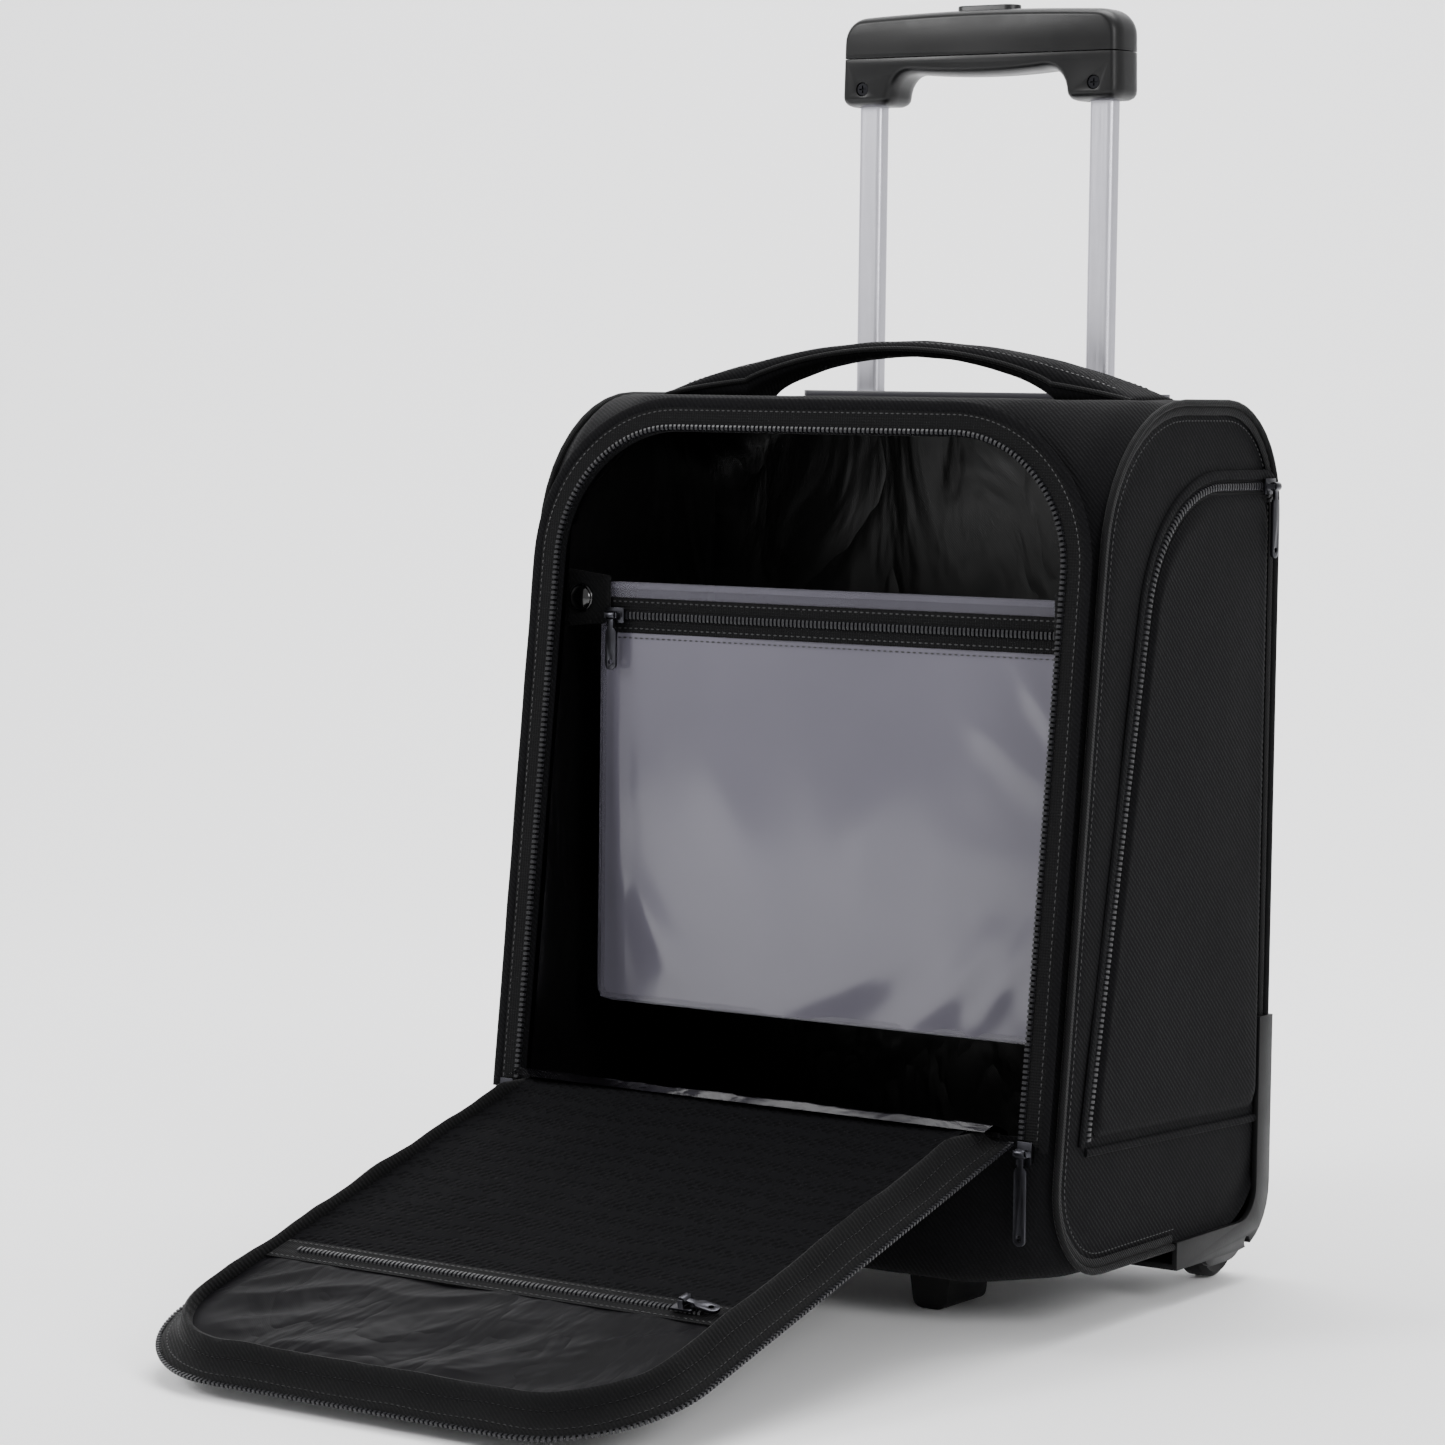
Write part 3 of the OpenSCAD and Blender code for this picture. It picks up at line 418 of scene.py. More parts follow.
# ------------------------------------------------------------------ mesh tools
@dataclass
class Draft:
    """Points and faces gathered for one piece."""

    points: list = field(default_factory=list)
    faces: list = field(default_factory=list)

    def add(self, points: np.ndarray, faces: Iterable[Sequence[int]]) -> None:
        """Adds a part of the piece, its faces counted from its own first point."""
        start = len(self.points)
        self.points.extend(map(tuple, np.asarray(points, float).reshape(-1, 3)))
        self.faces.extend([tuple(start + i for i in f) for f in faces])

    def loft(self, rings: np.ndarray, closed: bool, loop: bool = False, caps: bool = True) -> None:
        """Adds a skin through rings of points.

        Args:
            rings: Array of rings, points and coordinates.
            closed: Whether each ring closes on itself.
            loop: Whether the last ring joins the first.
            caps: Whether the ends of closed rings are filled.
        """
        count, size = rings.shape[:2]
        faces = []
        for i in range(count if loop else count - 1):
            for j in range(size if closed else size - 1):
                k, n = (j + 1) % size, (i + 1) % count
                faces.append((i * size + j, i * size + k, n * size + k, n * size + j))
        if closed and caps and not loop:
            faces.append(tuple(range(size - 1, -1, -1)))
            faces.append(tuple((count - 1) * size + j for j in range(size)))
        self.add(rings, faces)

    def piece(self, name: str, angle: float = 35.0, close: float = 1e-6) -> Piece:
        """Makes the mesh object, with doubles merged and faces outward.

        Args:
            name: The piece's name.
            angle: Edges sharper than this stay crisp, in degrees.
            close: Points nearer than this are one.

        Returns:
            The new object, at the origin.
        """
        mesh = bpy.data.meshes.new(name)
        mesh.from_pydata(self.points, [], self.faces)
        mesh.validate()
        made = bpy.data.objects.new(name, mesh)
        bpy.context.scene.collection.objects.link(made)
        edit(made)
        bpy.ops.mesh.select_all(action="SELECT")
        bpy.ops.mesh.remove_doubles(threshold=close)
        bpy.ops.mesh.normals_make_consistent(inside=False)
        bpy.ops.object.mode_set(mode="OBJECT")
        smooth(made, angle)
        return made


def only(piece: Piece) -> None:
    """Selects this piece and nothing else."""
    for other in bpy.context.selected_objects:
        other.select_set(False)
    piece.select_set(True)
    bpy.context.view_layer.objects.active = piece


def edit(piece: Piece) -> None:
    """Selects this piece alone and opens it in edit mode."""
    only(piece)
    bpy.ops.object.mode_set(mode="EDIT")


def smooth(piece: Piece, angle: float) -> None:
    """Smooth shading, with edges sharper than angle degrees kept crisp."""
    only(piece)
    bpy.ops.object.shade_smooth_by_angle(angle=math.radians(angle))


def modify(piece: Piece, kind: str, **settings: object) -> None:
    """Adds one modifier with its settings, and applies it."""
    only(piece)
    made = piece.modifiers.new(kind.title(), kind)
    for key, value in settings.items():
        setattr(made, key, value)
    bpy.ops.object.modifier_apply(modifier=made.name)


def dress(piece: Piece, wear: Wear, body: str, slot: str, *stands_for: str) -> Piece:
    """Gives a piece its material, its body and the nodes that it stands for.

    Args:
        piece: The piece.
        wear: Its finish.
        body: The body it rides on.
        slot: The record's slot for its finish; not used.
        *stands_for: The nodes that it replaces.

    Returns:
        The same piece.
    """
    piece.data.materials.clear()
    piece.data.materials.append(wear.material())
    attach(piece, body)
    if stands_for:
        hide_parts(*stands_for)
    log.info("%s: %d faces, %s", piece.name, len(piece.data.polygons), wear.value.name)
    return piece


def softened(node: str, name: str, width_mm: float, wear: Wear, body: str, slot: str, segments: int = 2,
             angle: float = 40.0) -> Piece:
    """A copy of a moulded node with its edges rounded, which then stands for it.

    Args:
        node: The node.
        name: The new piece's name.
        width_mm: Width of the rounding.
        wear: Its finish.
        body: The body it rides on.
        slot: The record's slot; not used.
        segments: Steps in the rounding.
        angle: Edges sharper than this are rounded, in degrees.

    Returns:
        The new piece.
    """
    made = bpy.data.objects.new(name, frame["nodes"][node].data.copy())
    bpy.context.scene.collection.objects.link(made)
    edit(made)
    bpy.ops.mesh.select_all(action="SELECT")
    bpy.ops.mesh.remove_doubles(threshold=2e-6)
    bpy.ops.mesh.tris_convert_to_quads(face_threshold=0.02, shape_threshold=3.1)
    bpy.ops.mesh.dissolve_limited(angle_limit=math.radians(1.0))
    bpy.ops.object.mode_set(mode="OBJECT")
    modify(made, "BEVEL", width=width_mm * MM, segments=segments, limit_method="ANGLE",
           angle_limit=math.radians(angle), harden_normals=False, use_clamp_overlap=True)
    smooth(made, 30.0)
    return dress(made, wear, body, slot, node)


def unit(v: np.ndarray) -> np.ndarray:
    """A vector, or rows of them, at length one."""
    return v / np.maximum(np.linalg.norm(v, axis=-1, keepdims=True), 1e-12)


def rounded(corners: Outline, radii: Sequence[float], steps: int = 10) -> np.ndarray:
    """A loop through corners, each rounded to its own radius.

    Args:
        corners: The corner points.
        radii: One radius for each.
        steps: Steps in each rounding.

    Returns:
        Rows of two coordinates, steps + 1 for each corner.
    """
    out = []
    for i, spot in enumerate(corners):
        p = np.array(spot)
        u, v = unit(np.array(corners[i - 1]) - p), unit(np.array(corners[(i + 1) % len(corners)]) - p)
        if radii[i] <= 0:
            out += [p] * (steps + 1)
            continue
        half = math.acos(float(np.clip(u @ v, -1, 1))) / 2
        centre = p + unit(u + v) * radii[i] / math.sin(half)
        s, e = (p + w * radii[i] / math.tan(half) - centre for w in (u, v))
        start = math.atan2(s[1], s[0])
        turn = (math.atan2(e[1], e[0]) - start + math.pi) % (2 * math.pi) - math.pi
        out += [centre + radii[i] * np.array([math.cos(start + turn * k / steps),
                                              math.sin(start + turn * k / steps)])
                for k in range(steps + 1)]
    return np.array(out)


def spaced(path: np.ndarray, gap: float, closed: bool = False) -> np.ndarray:
    """A path's points set evenly, about gap apart.

    Args:
        path: Rows of coordinates.
        gap: The wanted spacing.
        closed: Whether the path returns to its start.

    Returns:
        The new rows.
    """
    line = np.vstack([path, path[:1]]) if closed else path
    step = np.linalg.norm(np.diff(line, axis=0), axis=1)
    keep = np.concatenate([[True], step > 1e-9])
    line, length = line[keep], np.concatenate([[0], np.cumsum(step[step > 1e-9])])
    count = max(2, int(round(length[-1] / gap)) + 1)
    at = np.linspace(0, length[-1], count)
    out = np.stack([np.interp(at, length, line[:, k]) for k in range(line.shape[1])], axis=1)
    return out[:-1] if closed else out


def along(path: np.ndarray, up: np.ndarray,
          closed: bool = False) -> tuple[np.ndarray, np.ndarray, np.ndarray]:
    """Directions at each point of a path on a surface.

    Args:
        path: Rows of three coordinates.
        up: The surface's outward direction, one or one for each point.
        closed: Whether the path returns to its start.

    Returns:
        Forward, sideways and upward directions.
    """
    if closed:
        forward = unit(np.roll(path, -1, axis=0) - np.roll(path, 1, axis=0))
    else:
        forward = unit(np.gradient(path, axis=0))
    up = np.broadcast_to(up, path.shape)
    side = unit(np.cross(forward, up))
    return forward, side, unit(np.cross(side, forward))


def swept(path: np.ndarray, up: np.ndarray, section: np.ndarray, closed: bool = False) -> np.ndarray:
    """Rings of a section carried along a path.

    Args:
        path: Rows of three coordinates.
        up: The surface's outward direction.
        section: Rows of (sideways, upward) offsets, in metres.
        closed: Whether the path returns to its start.

    Returns:
        Array of rings.
    """
    _, side, lift = along(path, up, closed)
    return (path[:, None, :] + section[None, :, :1] * side[:, None, :]
            + section[None, :, 1:] * lift[:, None, :])


def round_section(width: float, height: float, sides: int = 10) -> np.ndarray:
    """An oval section, width by height."""
    at = np.linspace(0, 2 * math.pi, sides, endpoint=False)
    return np.stack([np.cos(at) * width / 2, np.sin(at) * height / 2], axis=1)


def flat_section(low: float, high: float, base: float, top: float) -> np.ndarray:
    """A thin flat section from low to high sideways, its thickness from base to top."""
    return np.array([[low, base], [high, base], [high, top], [low, top]])


def ease(x: np.ndarray | float) -> np.ndarray | float:
    """A smooth step from 0 to 1."""
    x = np.clip(x, 0, 1)
    return x * x * (3 - 2 * x)


def ruffle(points: np.ndarray, size_mm: float, seed: float = 0.0,
           stretch: Sequence[float] = (1, 1, 1)) -> np.ndarray:
    """Smooth noise from -1 to 1 at each point, with dents of about size_mm.

    Args:
        points: Rows of three coordinates, in metres.
        size_mm: The dents' size.
        seed: Which noise.
        stretch: A factor for each axis; below 1 draws the dents out along it.

    Returns:
        One value for each point.
    """
    flat = points.reshape(-1, 3) * np.array(stretch) / (size_mm * MM) + seed
    return np.array([noise.noise(Vector(p)) for p in flat]).reshape(points.shape[:-1])


def creases(points: np.ndarray, size_mm: float, seed: float, stretch: Sequence[float]) -> np.ndarray:
    """Sharp-crested folds from 0 to 1 at each point, drawn out as stretch says."""
    return 1 - np.abs(ruffle(points, size_mm, seed, stretch)) * 2


def stitches(draft: Draft, path: np.ndarray, up: np.ndarray, pitch_mm: float = 3.2, thick_mm: float = 0.55,
             closed: bool = False) -> None:
    """Adds a row of raised stitches along a path.

    Args:
        draft: Where they go.
        path: The seam's line.
        up: The cloth's outward direction.
        pitch_mm: From one stitch to the next.
        thick_mm: The thread's thickness.
        closed: Whether the line closes.
    """
    line = spaced(path, pitch_mm * MM, closed)
    forward, side, lift = along(line, up, closed)
    half, thick = pitch_mm * 0.36 * MM, thick_mm * MM
    shape = np.array([[-half, 0, 0], [-half * 0.4, -thick * 0.5, thick * 0.5],
                      [-half * 0.4, thick * 0.5, thick * 0.5],
                      [half * 0.4, -thick * 0.5, thick * 0.5], [half * 0.4, thick * 0.5, thick * 0.5],
                      [half, 0, 0]])
    faces = [(0, 1, 2), (1, 3, 4, 2), (3, 5, 4), (0, 5, 3, 1), (0, 2, 4, 5)]
    for p, f, s, u in zip(line, forward, side, lift):
        draft.add(p + shape[:, :1] * f + shape[:, 1:2] * s + shape[:, 2:] * u, faces)


def coil(draft: Draft, path: np.ndarray, up: np.ndarray, width_mm: float, height_mm: float, pitch_mm: float,
         closed: bool = False) -> None:
    """Adds a coil zip's row of teeth along a path: one arched loop after another.

    Args:
        draft: Where they go.
        path: The middle of the row.
        up: The tape's outward direction.
        width_mm: Across the row.
        height_mm: How high each loop arches.
        pitch_mm: From one loop to the next.
        closed: Whether the path closes.
    """
    line = spaced(path, pitch_mm * MM, closed)
    forward, side, lift = along(line, up, closed)
    w, h, t = width_mm / 2 * MM, height_mm * MM, pitch_mm * 0.27 * MM
    arch = [(-w, 0.0), (-w * 0.8, h * 0.8), (0.0, h), (w * 0.8, h * 0.8), (w, 0.0)]
    shape = np.array([[f, s + (0.12 * t if f > 0 else 0), u] for s, u in arch for f in (-t, t)])
    faces = [(2 * i, 2 * i + 1, 2 * i + 3, 2 * i + 2) for i in range(4)]
    faces += [(0, 2, 4, 6, 8), (9, 7, 5, 3, 1), (1, 0, 8, 9)]
    for p, f, s, u in zip(line, forward, side, lift):
        draft.add(p + shape[:, :1] * f + shape[:, 1:2] * s + shape[:, 2:] * u, faces)


# ------------------------------------------------------------------ sizes
HINGE = next(j for j in frame["joints"] if j["name"] == "flap_hinge")


@dataclass(frozen=True)
class Case:
    """The sizes of the case, in metres, and the outlines drawn from them."""

    width: float = 0.328
    height: float = 0.445
    depth: float = 0.171
    lean: float = math.radians(6.5)
    low: float = 0.020
    lift: float = 0.008
    proud: float = 0.006
    crown: float = 0.216
    back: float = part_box("side_panel_right")[1].y
    hinge: tuple[float, float] = (HINGE["pos_m"][1], HINGE["pos_m"][2])
    drop: float = math.radians(HINGE["range_deg"][1] - 90 - 6.5)
    zip_x: float = 0.1465
    zip_l: float = 0.331
    zip_r: float = 0.065

    def front(self, z: float) -> float:
        """The front seam's place along Y at height z."""
        return self.back - self.depth - (self.height - z) * math.tan(self.lean)

    def profile(self, x: float, inset: float = 0.0, rear: float = 0.0,
                counts: Sequence[int] = (26, 36, 18, 38)
                ) -> np.ndarray:
        """The case's outline across at x, as rows of y and z.

        Args:
            x: Distance from the middle.
            inset: How far the outline is drawn in.
            rear: How far it is drawn in at the back.
            counts: Points along the bottom, back, top and front.

        Returns:
            A loop, from the lower front corner along the bottom.
        """
        out = float(np.clip((abs(x) - self.crown / 2) / (self.width / 2 - self.crown / 2), 0, 1))
        stand = self.proud * (1 - float(ease((abs(x) - 0.146) / 0.018)))
        low, top, back = self.low + self.lift * out + inset, self.height - inset, self.back - max(rear, inset)
        corners = [(self.front(low) - stand + inset, low), (back, low), (back, top),
                   (self.front(top) - stand + inset, top)]
        radii = [max(0.004, a + (b - a) * out - inset) for a,
                 b in ((0.028, 0.045), (0.028, 0.045), (0.016, 0.055),
                                                                    (0.020, 0.080))]
        arcs = rounded(corners, radii, 10).reshape(4, 11, 2)
        line = []
        for k in range(4):
            line.append(arcs[k])
            share = np.linspace(0, 1, counts[k] + 2)[1:-1, None]
            line.append(arcs[k][-1] * (1 - share) + arcs[(k + 1) % 4][0] * share)
        return np.vstack(line)

    def on_front(self, local: np.ndarray) -> np.ndarray:
        """Points given from the hinge (y into the case, z up the front face), in the case's frame."""
        return self.turned(local, -self.lean)

    def on_flap(self, local: np.ndarray) -> np.ndarray:
        """Points given from the hinge along the open flap (y up from it, z outward), in the case's frame."""
        return self.turned(local, math.pi / 2 + self.drop)

    def turned(self, local: np.ndarray, angle: float) -> np.ndarray:
        """Points of a plane that swings about the hinge line."""
        c, s = math.cos(angle), math.sin(angle)
        y, z = local[..., 1] * c - local[..., 2] * s, local[..., 1] * s + local[..., 2] * c
        return np.stack([local[..., 0], y + self.hinge[0], z + self.hinge[1]], axis=-1)

    def zip_path(self, d: float, start: float = 0.0, gap: float = 0.004) -> np.ndarray:
        """The main zip's line moved outward by d, open at the hinge, as rows of x and z on its plane."""
        line = rounded([(-self.zip_x - d, start), (-self.zip_x - d, self.zip_l + d),
                        (self.zip_x + d, self.zip_l + d),
                        (self.zip_x + d, start)], [0, self.zip_r + d, self.zip_r + d, 0], 24)
        return spaced(line, gap)

    def edge_distance(self, x: np.ndarray, z: np.ndarray) -> np.ndarray:
        """How far inside the zip's line each point of its plane lies; negative outside."""
        cx, cz = self.zip_x - self.zip_r, self.zip_l - self.zip_r
        dx, dz = np.abs(x) - cx, z - cz
        corner = self.zip_r - np.hypot(np.maximum(dx, 0), np.maximum(dz, 0))
        return np.where((dx > 0) & (dz > 0), corner, np.minimum(self.zip_x - np.abs(x), self.zip_l - z))

    def half_width(self, z: np.ndarray, d: float) -> np.ndarray:
        """Half the opening's width at z up its plane, drawn in by d."""
        r = self.zip_r - d
        reach = np.clip(z - (self.zip_l - self.zip_r), 0, r)
        return self.zip_x - self.zip_r + np.sqrt(np.maximum(r * r - reach * reach, 0))


CASE = Case()
FRONT_OUT = np.array([0.0, -math.cos(CASE.lean), math.sin(CASE.lean)])
FLAP_UP = np.array([0.0, -math.sin(CASE.drop), math.cos(CASE.drop)])


def on_plane(path: np.ndarray, y: float, place: Callable[[np.ndarray], np.ndarray]) -> np.ndarray:
    """Rows of x and z at height y over a plane, in the case's frame."""
    return place(np.stack([path[:, 0], np.full(len(path), y), path[:, 1]], axis=1))


# ------------------------------------------------------------------ case
@dataclass
class Walls:
    """The padded cloth walls, their seams and their piping."""

    wall: float = 4 * MM
    puff: float = 1.3 * MM
    cord: float = 3.4 * MM
    tube_w: float = 20.4 * MM
    tube_hole: float = 0.8 * MM

    def body_points(self) -> tuple[np.ndarray, np.ndarray]:
        """The outer skin from seam to seam.

        Returns:
            Rings across the case, and each ring point's outward direction.
        """
        half = CASE.width / 2
        xs = np.concatenate([np.linspace(-half, -0.135, 12), np.linspace(-0.13, 0.13, 45),
                             np.linspace(0.135, half, 12)])
        rings = np.array([np.column_stack([np.full(len(p), x), p]) for x,
                          p in ((x, CASE.profile(x)) for x in xs)])
        flow = np.roll(rings, -1, axis=1) - np.roll(rings, 1, axis=1)
        out = unit(np.cross(flow, np.array([1.0, 0.0, 0.0])))
        return rings, -out if (out[34, 60] @ (rings[34, 60] - rings[34].mean(axis=0))) < 0 else out

    def build(self) -> None:
        """Builds the walls, the piping and the stitches along the side seams."""
        rings, out = self.body_points()
        half = CASE.width / 2
        soft = ruffle(rings, 95, 3.1) + 0.45 * ruffle(rings, 34, 7.7)
        calm = ease((np.abs(CASE.edge_distance(rings[..., 0],
                                               (rings[..., 2] - CASE.hinge[1]) / math.cos(CASE.lean)))
                     - 0.02) / 0.03)
        front = rings[..., 1] < CASE.front(0.445) + 0.03
        soft = np.where(front, soft * calm, soft)
        tuck = 2.2 * MM * (1 - ease((half - np.abs(rings[..., 0])) / (14 * MM)))
        rings = rings + out * (soft * self.puff - tuck)[..., None]
        draft = Draft()
        draft.loft(rings, True, caps=False)
        for side, ring in ((-1, rings[0]), (1, rings[-1])):
            centre = ring.mean(axis=0)
            caps = []
            for share in np.concatenate([[0.0], np.linspace(0.012, 1, 22)[:-1] ** 0.9]):
                row = ring * (1 - share) + centre * share
                swell = ease(np.full(len(ring), share / 0.12)) * 2.0 * MM
                row[:, 0] = side * (half - 2.0 * MM + swell + 0.8 * MM * ruffle(row, 60, 5.0) * min(1.0,
                                                                                                    share * 6))
                caps.append(row)
            caps[0] = ring
            loft = np.array(caps)
            draft.loft(loft, True, caps=False)
            last = len(draft.points)
            draft.add(np.array([[side * half, centre[1], centre[2]]]), [])
            size = len(ring)
            draft.faces += [(last, last - size + j, last - size + (j + 1) % size) for j in range(size)]
        shell = draft.piece("shell_walls", 40.0, 2e-5)
        modify(shell, "SOLIDIFY", thickness=self.wall, offset=-1.0)
        cutter = Draft()
        hole = CASE.zip_path(0.0, -0.0)
        cutter.loft(np.array([on_plane(hole, y, CASE.on_front) for y in (-0.03, 0.035)]), True)
        blade = cutter.piece("opening_blade", 20.0)
        modify(shell, "BOOLEAN", object=blade, operation="DIFFERENCE", solver="EXACT")
        bpy.data.objects.remove(blade)
        self.tube_holes(shell)
        smooth(shell, 38.0)
        dress(shell, Wear.SHELL, "case", "shell_fabric", "side_panel_left", "side_panel_right", "top_panel",
              "back_panel", "bottom_panel", "front_lower_panel", "front_border_left", "front_border_right")
        self.piping()
        self.seams()

    def tube_holes(self, shell: Piece) -> None:
        """Cuts the two holes in the top that the tubes slide through."""
        low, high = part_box("outer_tubes")
        y, reach = (low.y + high.y) / 2, self.tube_hole
        for x in (low.x + self.tube_w / 2, high.x - self.tube_w / 2):
            bpy.ops.mesh.primitive_cube_add(size=1, location=(x, y, CASE.height),
                                            scale=(self.tube_w + reach, high.y - low.y + reach, 40 * MM))
            blade = bpy.context.object
            modify(shell, "BOOLEAN", object=blade, operation="DIFFERENCE", solver="EXACT")
            bpy.data.objects.remove(blade)

    def side_line(self, inset: float) -> np.ndarray:
        """The side panel's outline, drawn in by inset, without the stretch that the wheel guard hides."""
        line = CASE.profile(CASE.width / 2, inset)
        hidden = (line[:, 0] > CASE.back - 0.0935) & (line[:, 1] < 0.1325)
        first = int(np.flatnonzero(hidden & ~np.roll(hidden, -1))[-1])
        line = np.roll(line, -first - 1, axis=0)
        return line[:int((~hidden).sum())]

    def piping(self) -> None:
        """Cloth-covered cord in both side seams, with a flat lip beside it."""
        for side, name in ((-1, "left"), (1, "right")):
            draft = Draft()
            line = spaced(self.side_line(0.0007), 3.0 * MM)
            path = np.column_stack([np.full(len(line), side * (CASE.width / 2 + 0.6 * MM)), line])
            draft.loft(swept(path, np.array([side, 0.0, 0.0]), round_section(self.cord, self.cord, 12)), True)
            lip = spaced(self.side_line(0.0045), 3.0 * MM)
            path = np.column_stack([np.full(len(lip), side * (CASE.width / 2 - 0.2 * MM)), lip])
            draft.loft(swept(path, np.array([side, 0.0, 0.0]), round_section(4.6 * MM, 1.4 * MM, 8)), True)
            made = dress(draft.piece(f"seam_piping_{name}"), Wear.PIPING, "case", "piping_cord",
                         *(["side_pipings"] if side > 0 else []))

    def seams(self) -> None:
        """Rows of stitches along both side seams."""
        thread, fold = Draft(), Draft()
        for side in (-1, 1):
            line = spaced(self.side_line(0.0095), 4 * MM)
            path = np.column_stack([np.full(len(line), side * (CASE.width / 2 + 0.1 * MM)), line])
            stitches(thread, path, np.array([side, 0.0, 0.0]))
        made = dress(thread.piece("side_seam_thread"), Wear.THREAD, "case", "shell_fabric")
        made.data.name = made.name


@dataclass
class MainZip:
    """The main zip's body half: coil teeth on a woven tape round the opening; the half round the flap is built
    with the flap.
    """

    pitch: float = 2.6
    tooth_w: float = 3.0
    tooth_h: float = 2.0
    tape_w: float = 13 * MM

    def build(self) -> None:
        """Builds the body's half of the zip: teeth, tape, welt and thread."""
        teeth = Draft()
        coil(teeth, on_plane(CASE.zip_path(1.8 * MM), -0.5 * MM, CASE.on_front), FRONT_OUT, self.tooth_w,
             self.tooth_h, self.pitch)
        dress(teeth.piece("body_zip_teeth", 60.0), Wear.COIL, "case", "zip_teeth", "body_zip_chain")
        tape = Draft()
        middle = on_plane(CASE.zip_path(2 * MM + self.tape_w / 2, -0.004), -0.25 * MM, CASE.on_front)
        tape.loft(swept(middle, FRONT_OUT,
                        flat_section(-self.tape_w / 2, self.tape_w / 2, -0.2 * MM, 0.5 * MM)), True)
        made = dress(tape.piece("body_zip_tape"), Wear.TAPE, "case", "zip_teeth")
        welt = Draft()
        path = on_plane(CASE.zip_path(14.2 * MM, -0.006, 0.003), -0.6 * MM, CASE.on_front)
        wave = 0.5 * MM * ruffle(path, 30, 2.0)
        path = path + wave[:, None] * FRONT_OUT
        welt.loft(swept(path, FRONT_OUT, round_section(5.2 * MM, 1.7 * MM, 10)), True)
        dress(welt.piece("body_zip_welt"), Wear.SHELL, "case", "shell_fabric")
        thread = Draft()
        stitches(thread, on_plane(CASE.zip_path(10.4 * MM), -0.75 * MM, CASE.on_front), FRONT_OUT)
        dress(thread.piece("body_zip_thread"), Wear.THREAD, "case", "zip_teeth")


@dataclass
class Lining:
    """The loose nylon lining inside the case, and the strip that runs over the hinge."""

    inset: float = 7.6 * MM
    rear: float = 28.2 * MM
    fold: float = 2.6 * MM

    def build(self) -> None:
        """Builds the lining and the hinge strip."""
        half = CASE.width / 2 - 5.2 * MM
        xs = np.linspace(-half, half, 84)
        counts = (40, 62, 28, 60)
        rings = np.array([np.column_stack([np.full(len(p), x), p])
                          for x, p in ((x, CASE.profile(x, self.inset, self.rear, counts)) for x in xs)])
        centre = rings.mean(axis=1, keepdims=True)
        crumple = 0.5 + 0.5 * ruffle(rings, 85, 1.0, (1, 1, 0.5)) + 0.25 * creases(rings, 40, 9.0,
                                                                                   (0.5, 1, 0.4))
        rings = rings + unit(centre - rings) * (np.clip(crumple, 0, 1) * self.fold)[..., None]
        draft = Draft()
        draft.loft(rings, True, caps=False)
        for side, ring in ((-1, rings[0]), (1, rings[-1])):
            caps = []
            for share in np.linspace(0, 0.97, 34):
                row = ring * (1 - share) + ring.mean(axis=0) * share
                deep = np.clip(0.5 + 0.5 * ruffle(row, 85, 4.0, (1, 1, 0.5)) + 0.25 * creases(row, 40, 6.0,
                                                                                              (1, 0.5, 0.4)),
                                                                                              0, 1)
                row[:, 0] = side * (half - deep * self.fold * min(1.0, share * 8))
                caps.append(row)
            draft.loft(np.array(caps), True, caps=False)
            draft.faces.append(tuple(range(len(draft.points) - len(ring), len(draft.points))))
        keep = []
        points = np.array(draft.points)
        for face in draft.faces:
            p = points[list(face)].mean(axis=0)
            up = (p[2] - CASE.hinge[1]) * math.cos(CASE.lean) + (p[1] - CASE.hinge[0]) * math.sin(CASE.lean)
            deep = (p[1] - CASE.hinge[0]) * math.cos(CASE.lean) - (p[2] - CASE.hinge[1]) * math.sin(CASE.lean)
            open_here = CASE.edge_distance(p[0], up) > -1 * MM and up > -2 * MM and deep < 26 * MM
            if not open_here:
                keep.append(face)
        draft.faces = keep
        made = dress(draft.piece("inside_lining", 60.0, 2e-5), Wear.LINING, "case", "lining_nylon",
                     "interior_lining")
        self.hinge_strip()

    def hinge_strip(self) -> None:
        """A crumpled strip of lining from the lower panel over the hinge on to the flap."""
        line = [(0.0075, -0.020), (0.0055, -0.008), (0.004, -0.001), (0.0015, 0.0022)]
        inside = np.array([CASE.on_front(np.array([0.0, y, z]))[1:] for y, z in line])
        flap = np.array([CASE.on_flap(np.array([0.0, y, z]))[1:] for y, z in ((0.006, 0.004), (0.0093, 0.009),
                                                                              (0.0096, 0.018))])
        path = spaced(np.vstack([inside, flap]), 1.8 * MM)
        xs = np.linspace(-0.139, 0.139, 110)
        grid = np.array([[(x, y, z) for y, z in path] for x in xs])
        ripple = ruffle(grid, 30, 1.0, (1.3, 0.5, 0.5)) + 0.35 * ruffle(grid, 12, 3.0, (1.2, 0.4, 0.4))
        grid[..., 2] += 1.6 * MM * ripple * np.sin(np.linspace(0, math.pi, len(path)))[None, :]
        draft = Draft()
        draft.loft(grid, False)
        strip = draft.piece("hinge_strip", 60.0)
        strip.data.materials.append(Wear.HINGE_LINING.material())
        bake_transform(strip)
        log.info("hinge_strip: %d faces", len(strip.data.polygons))


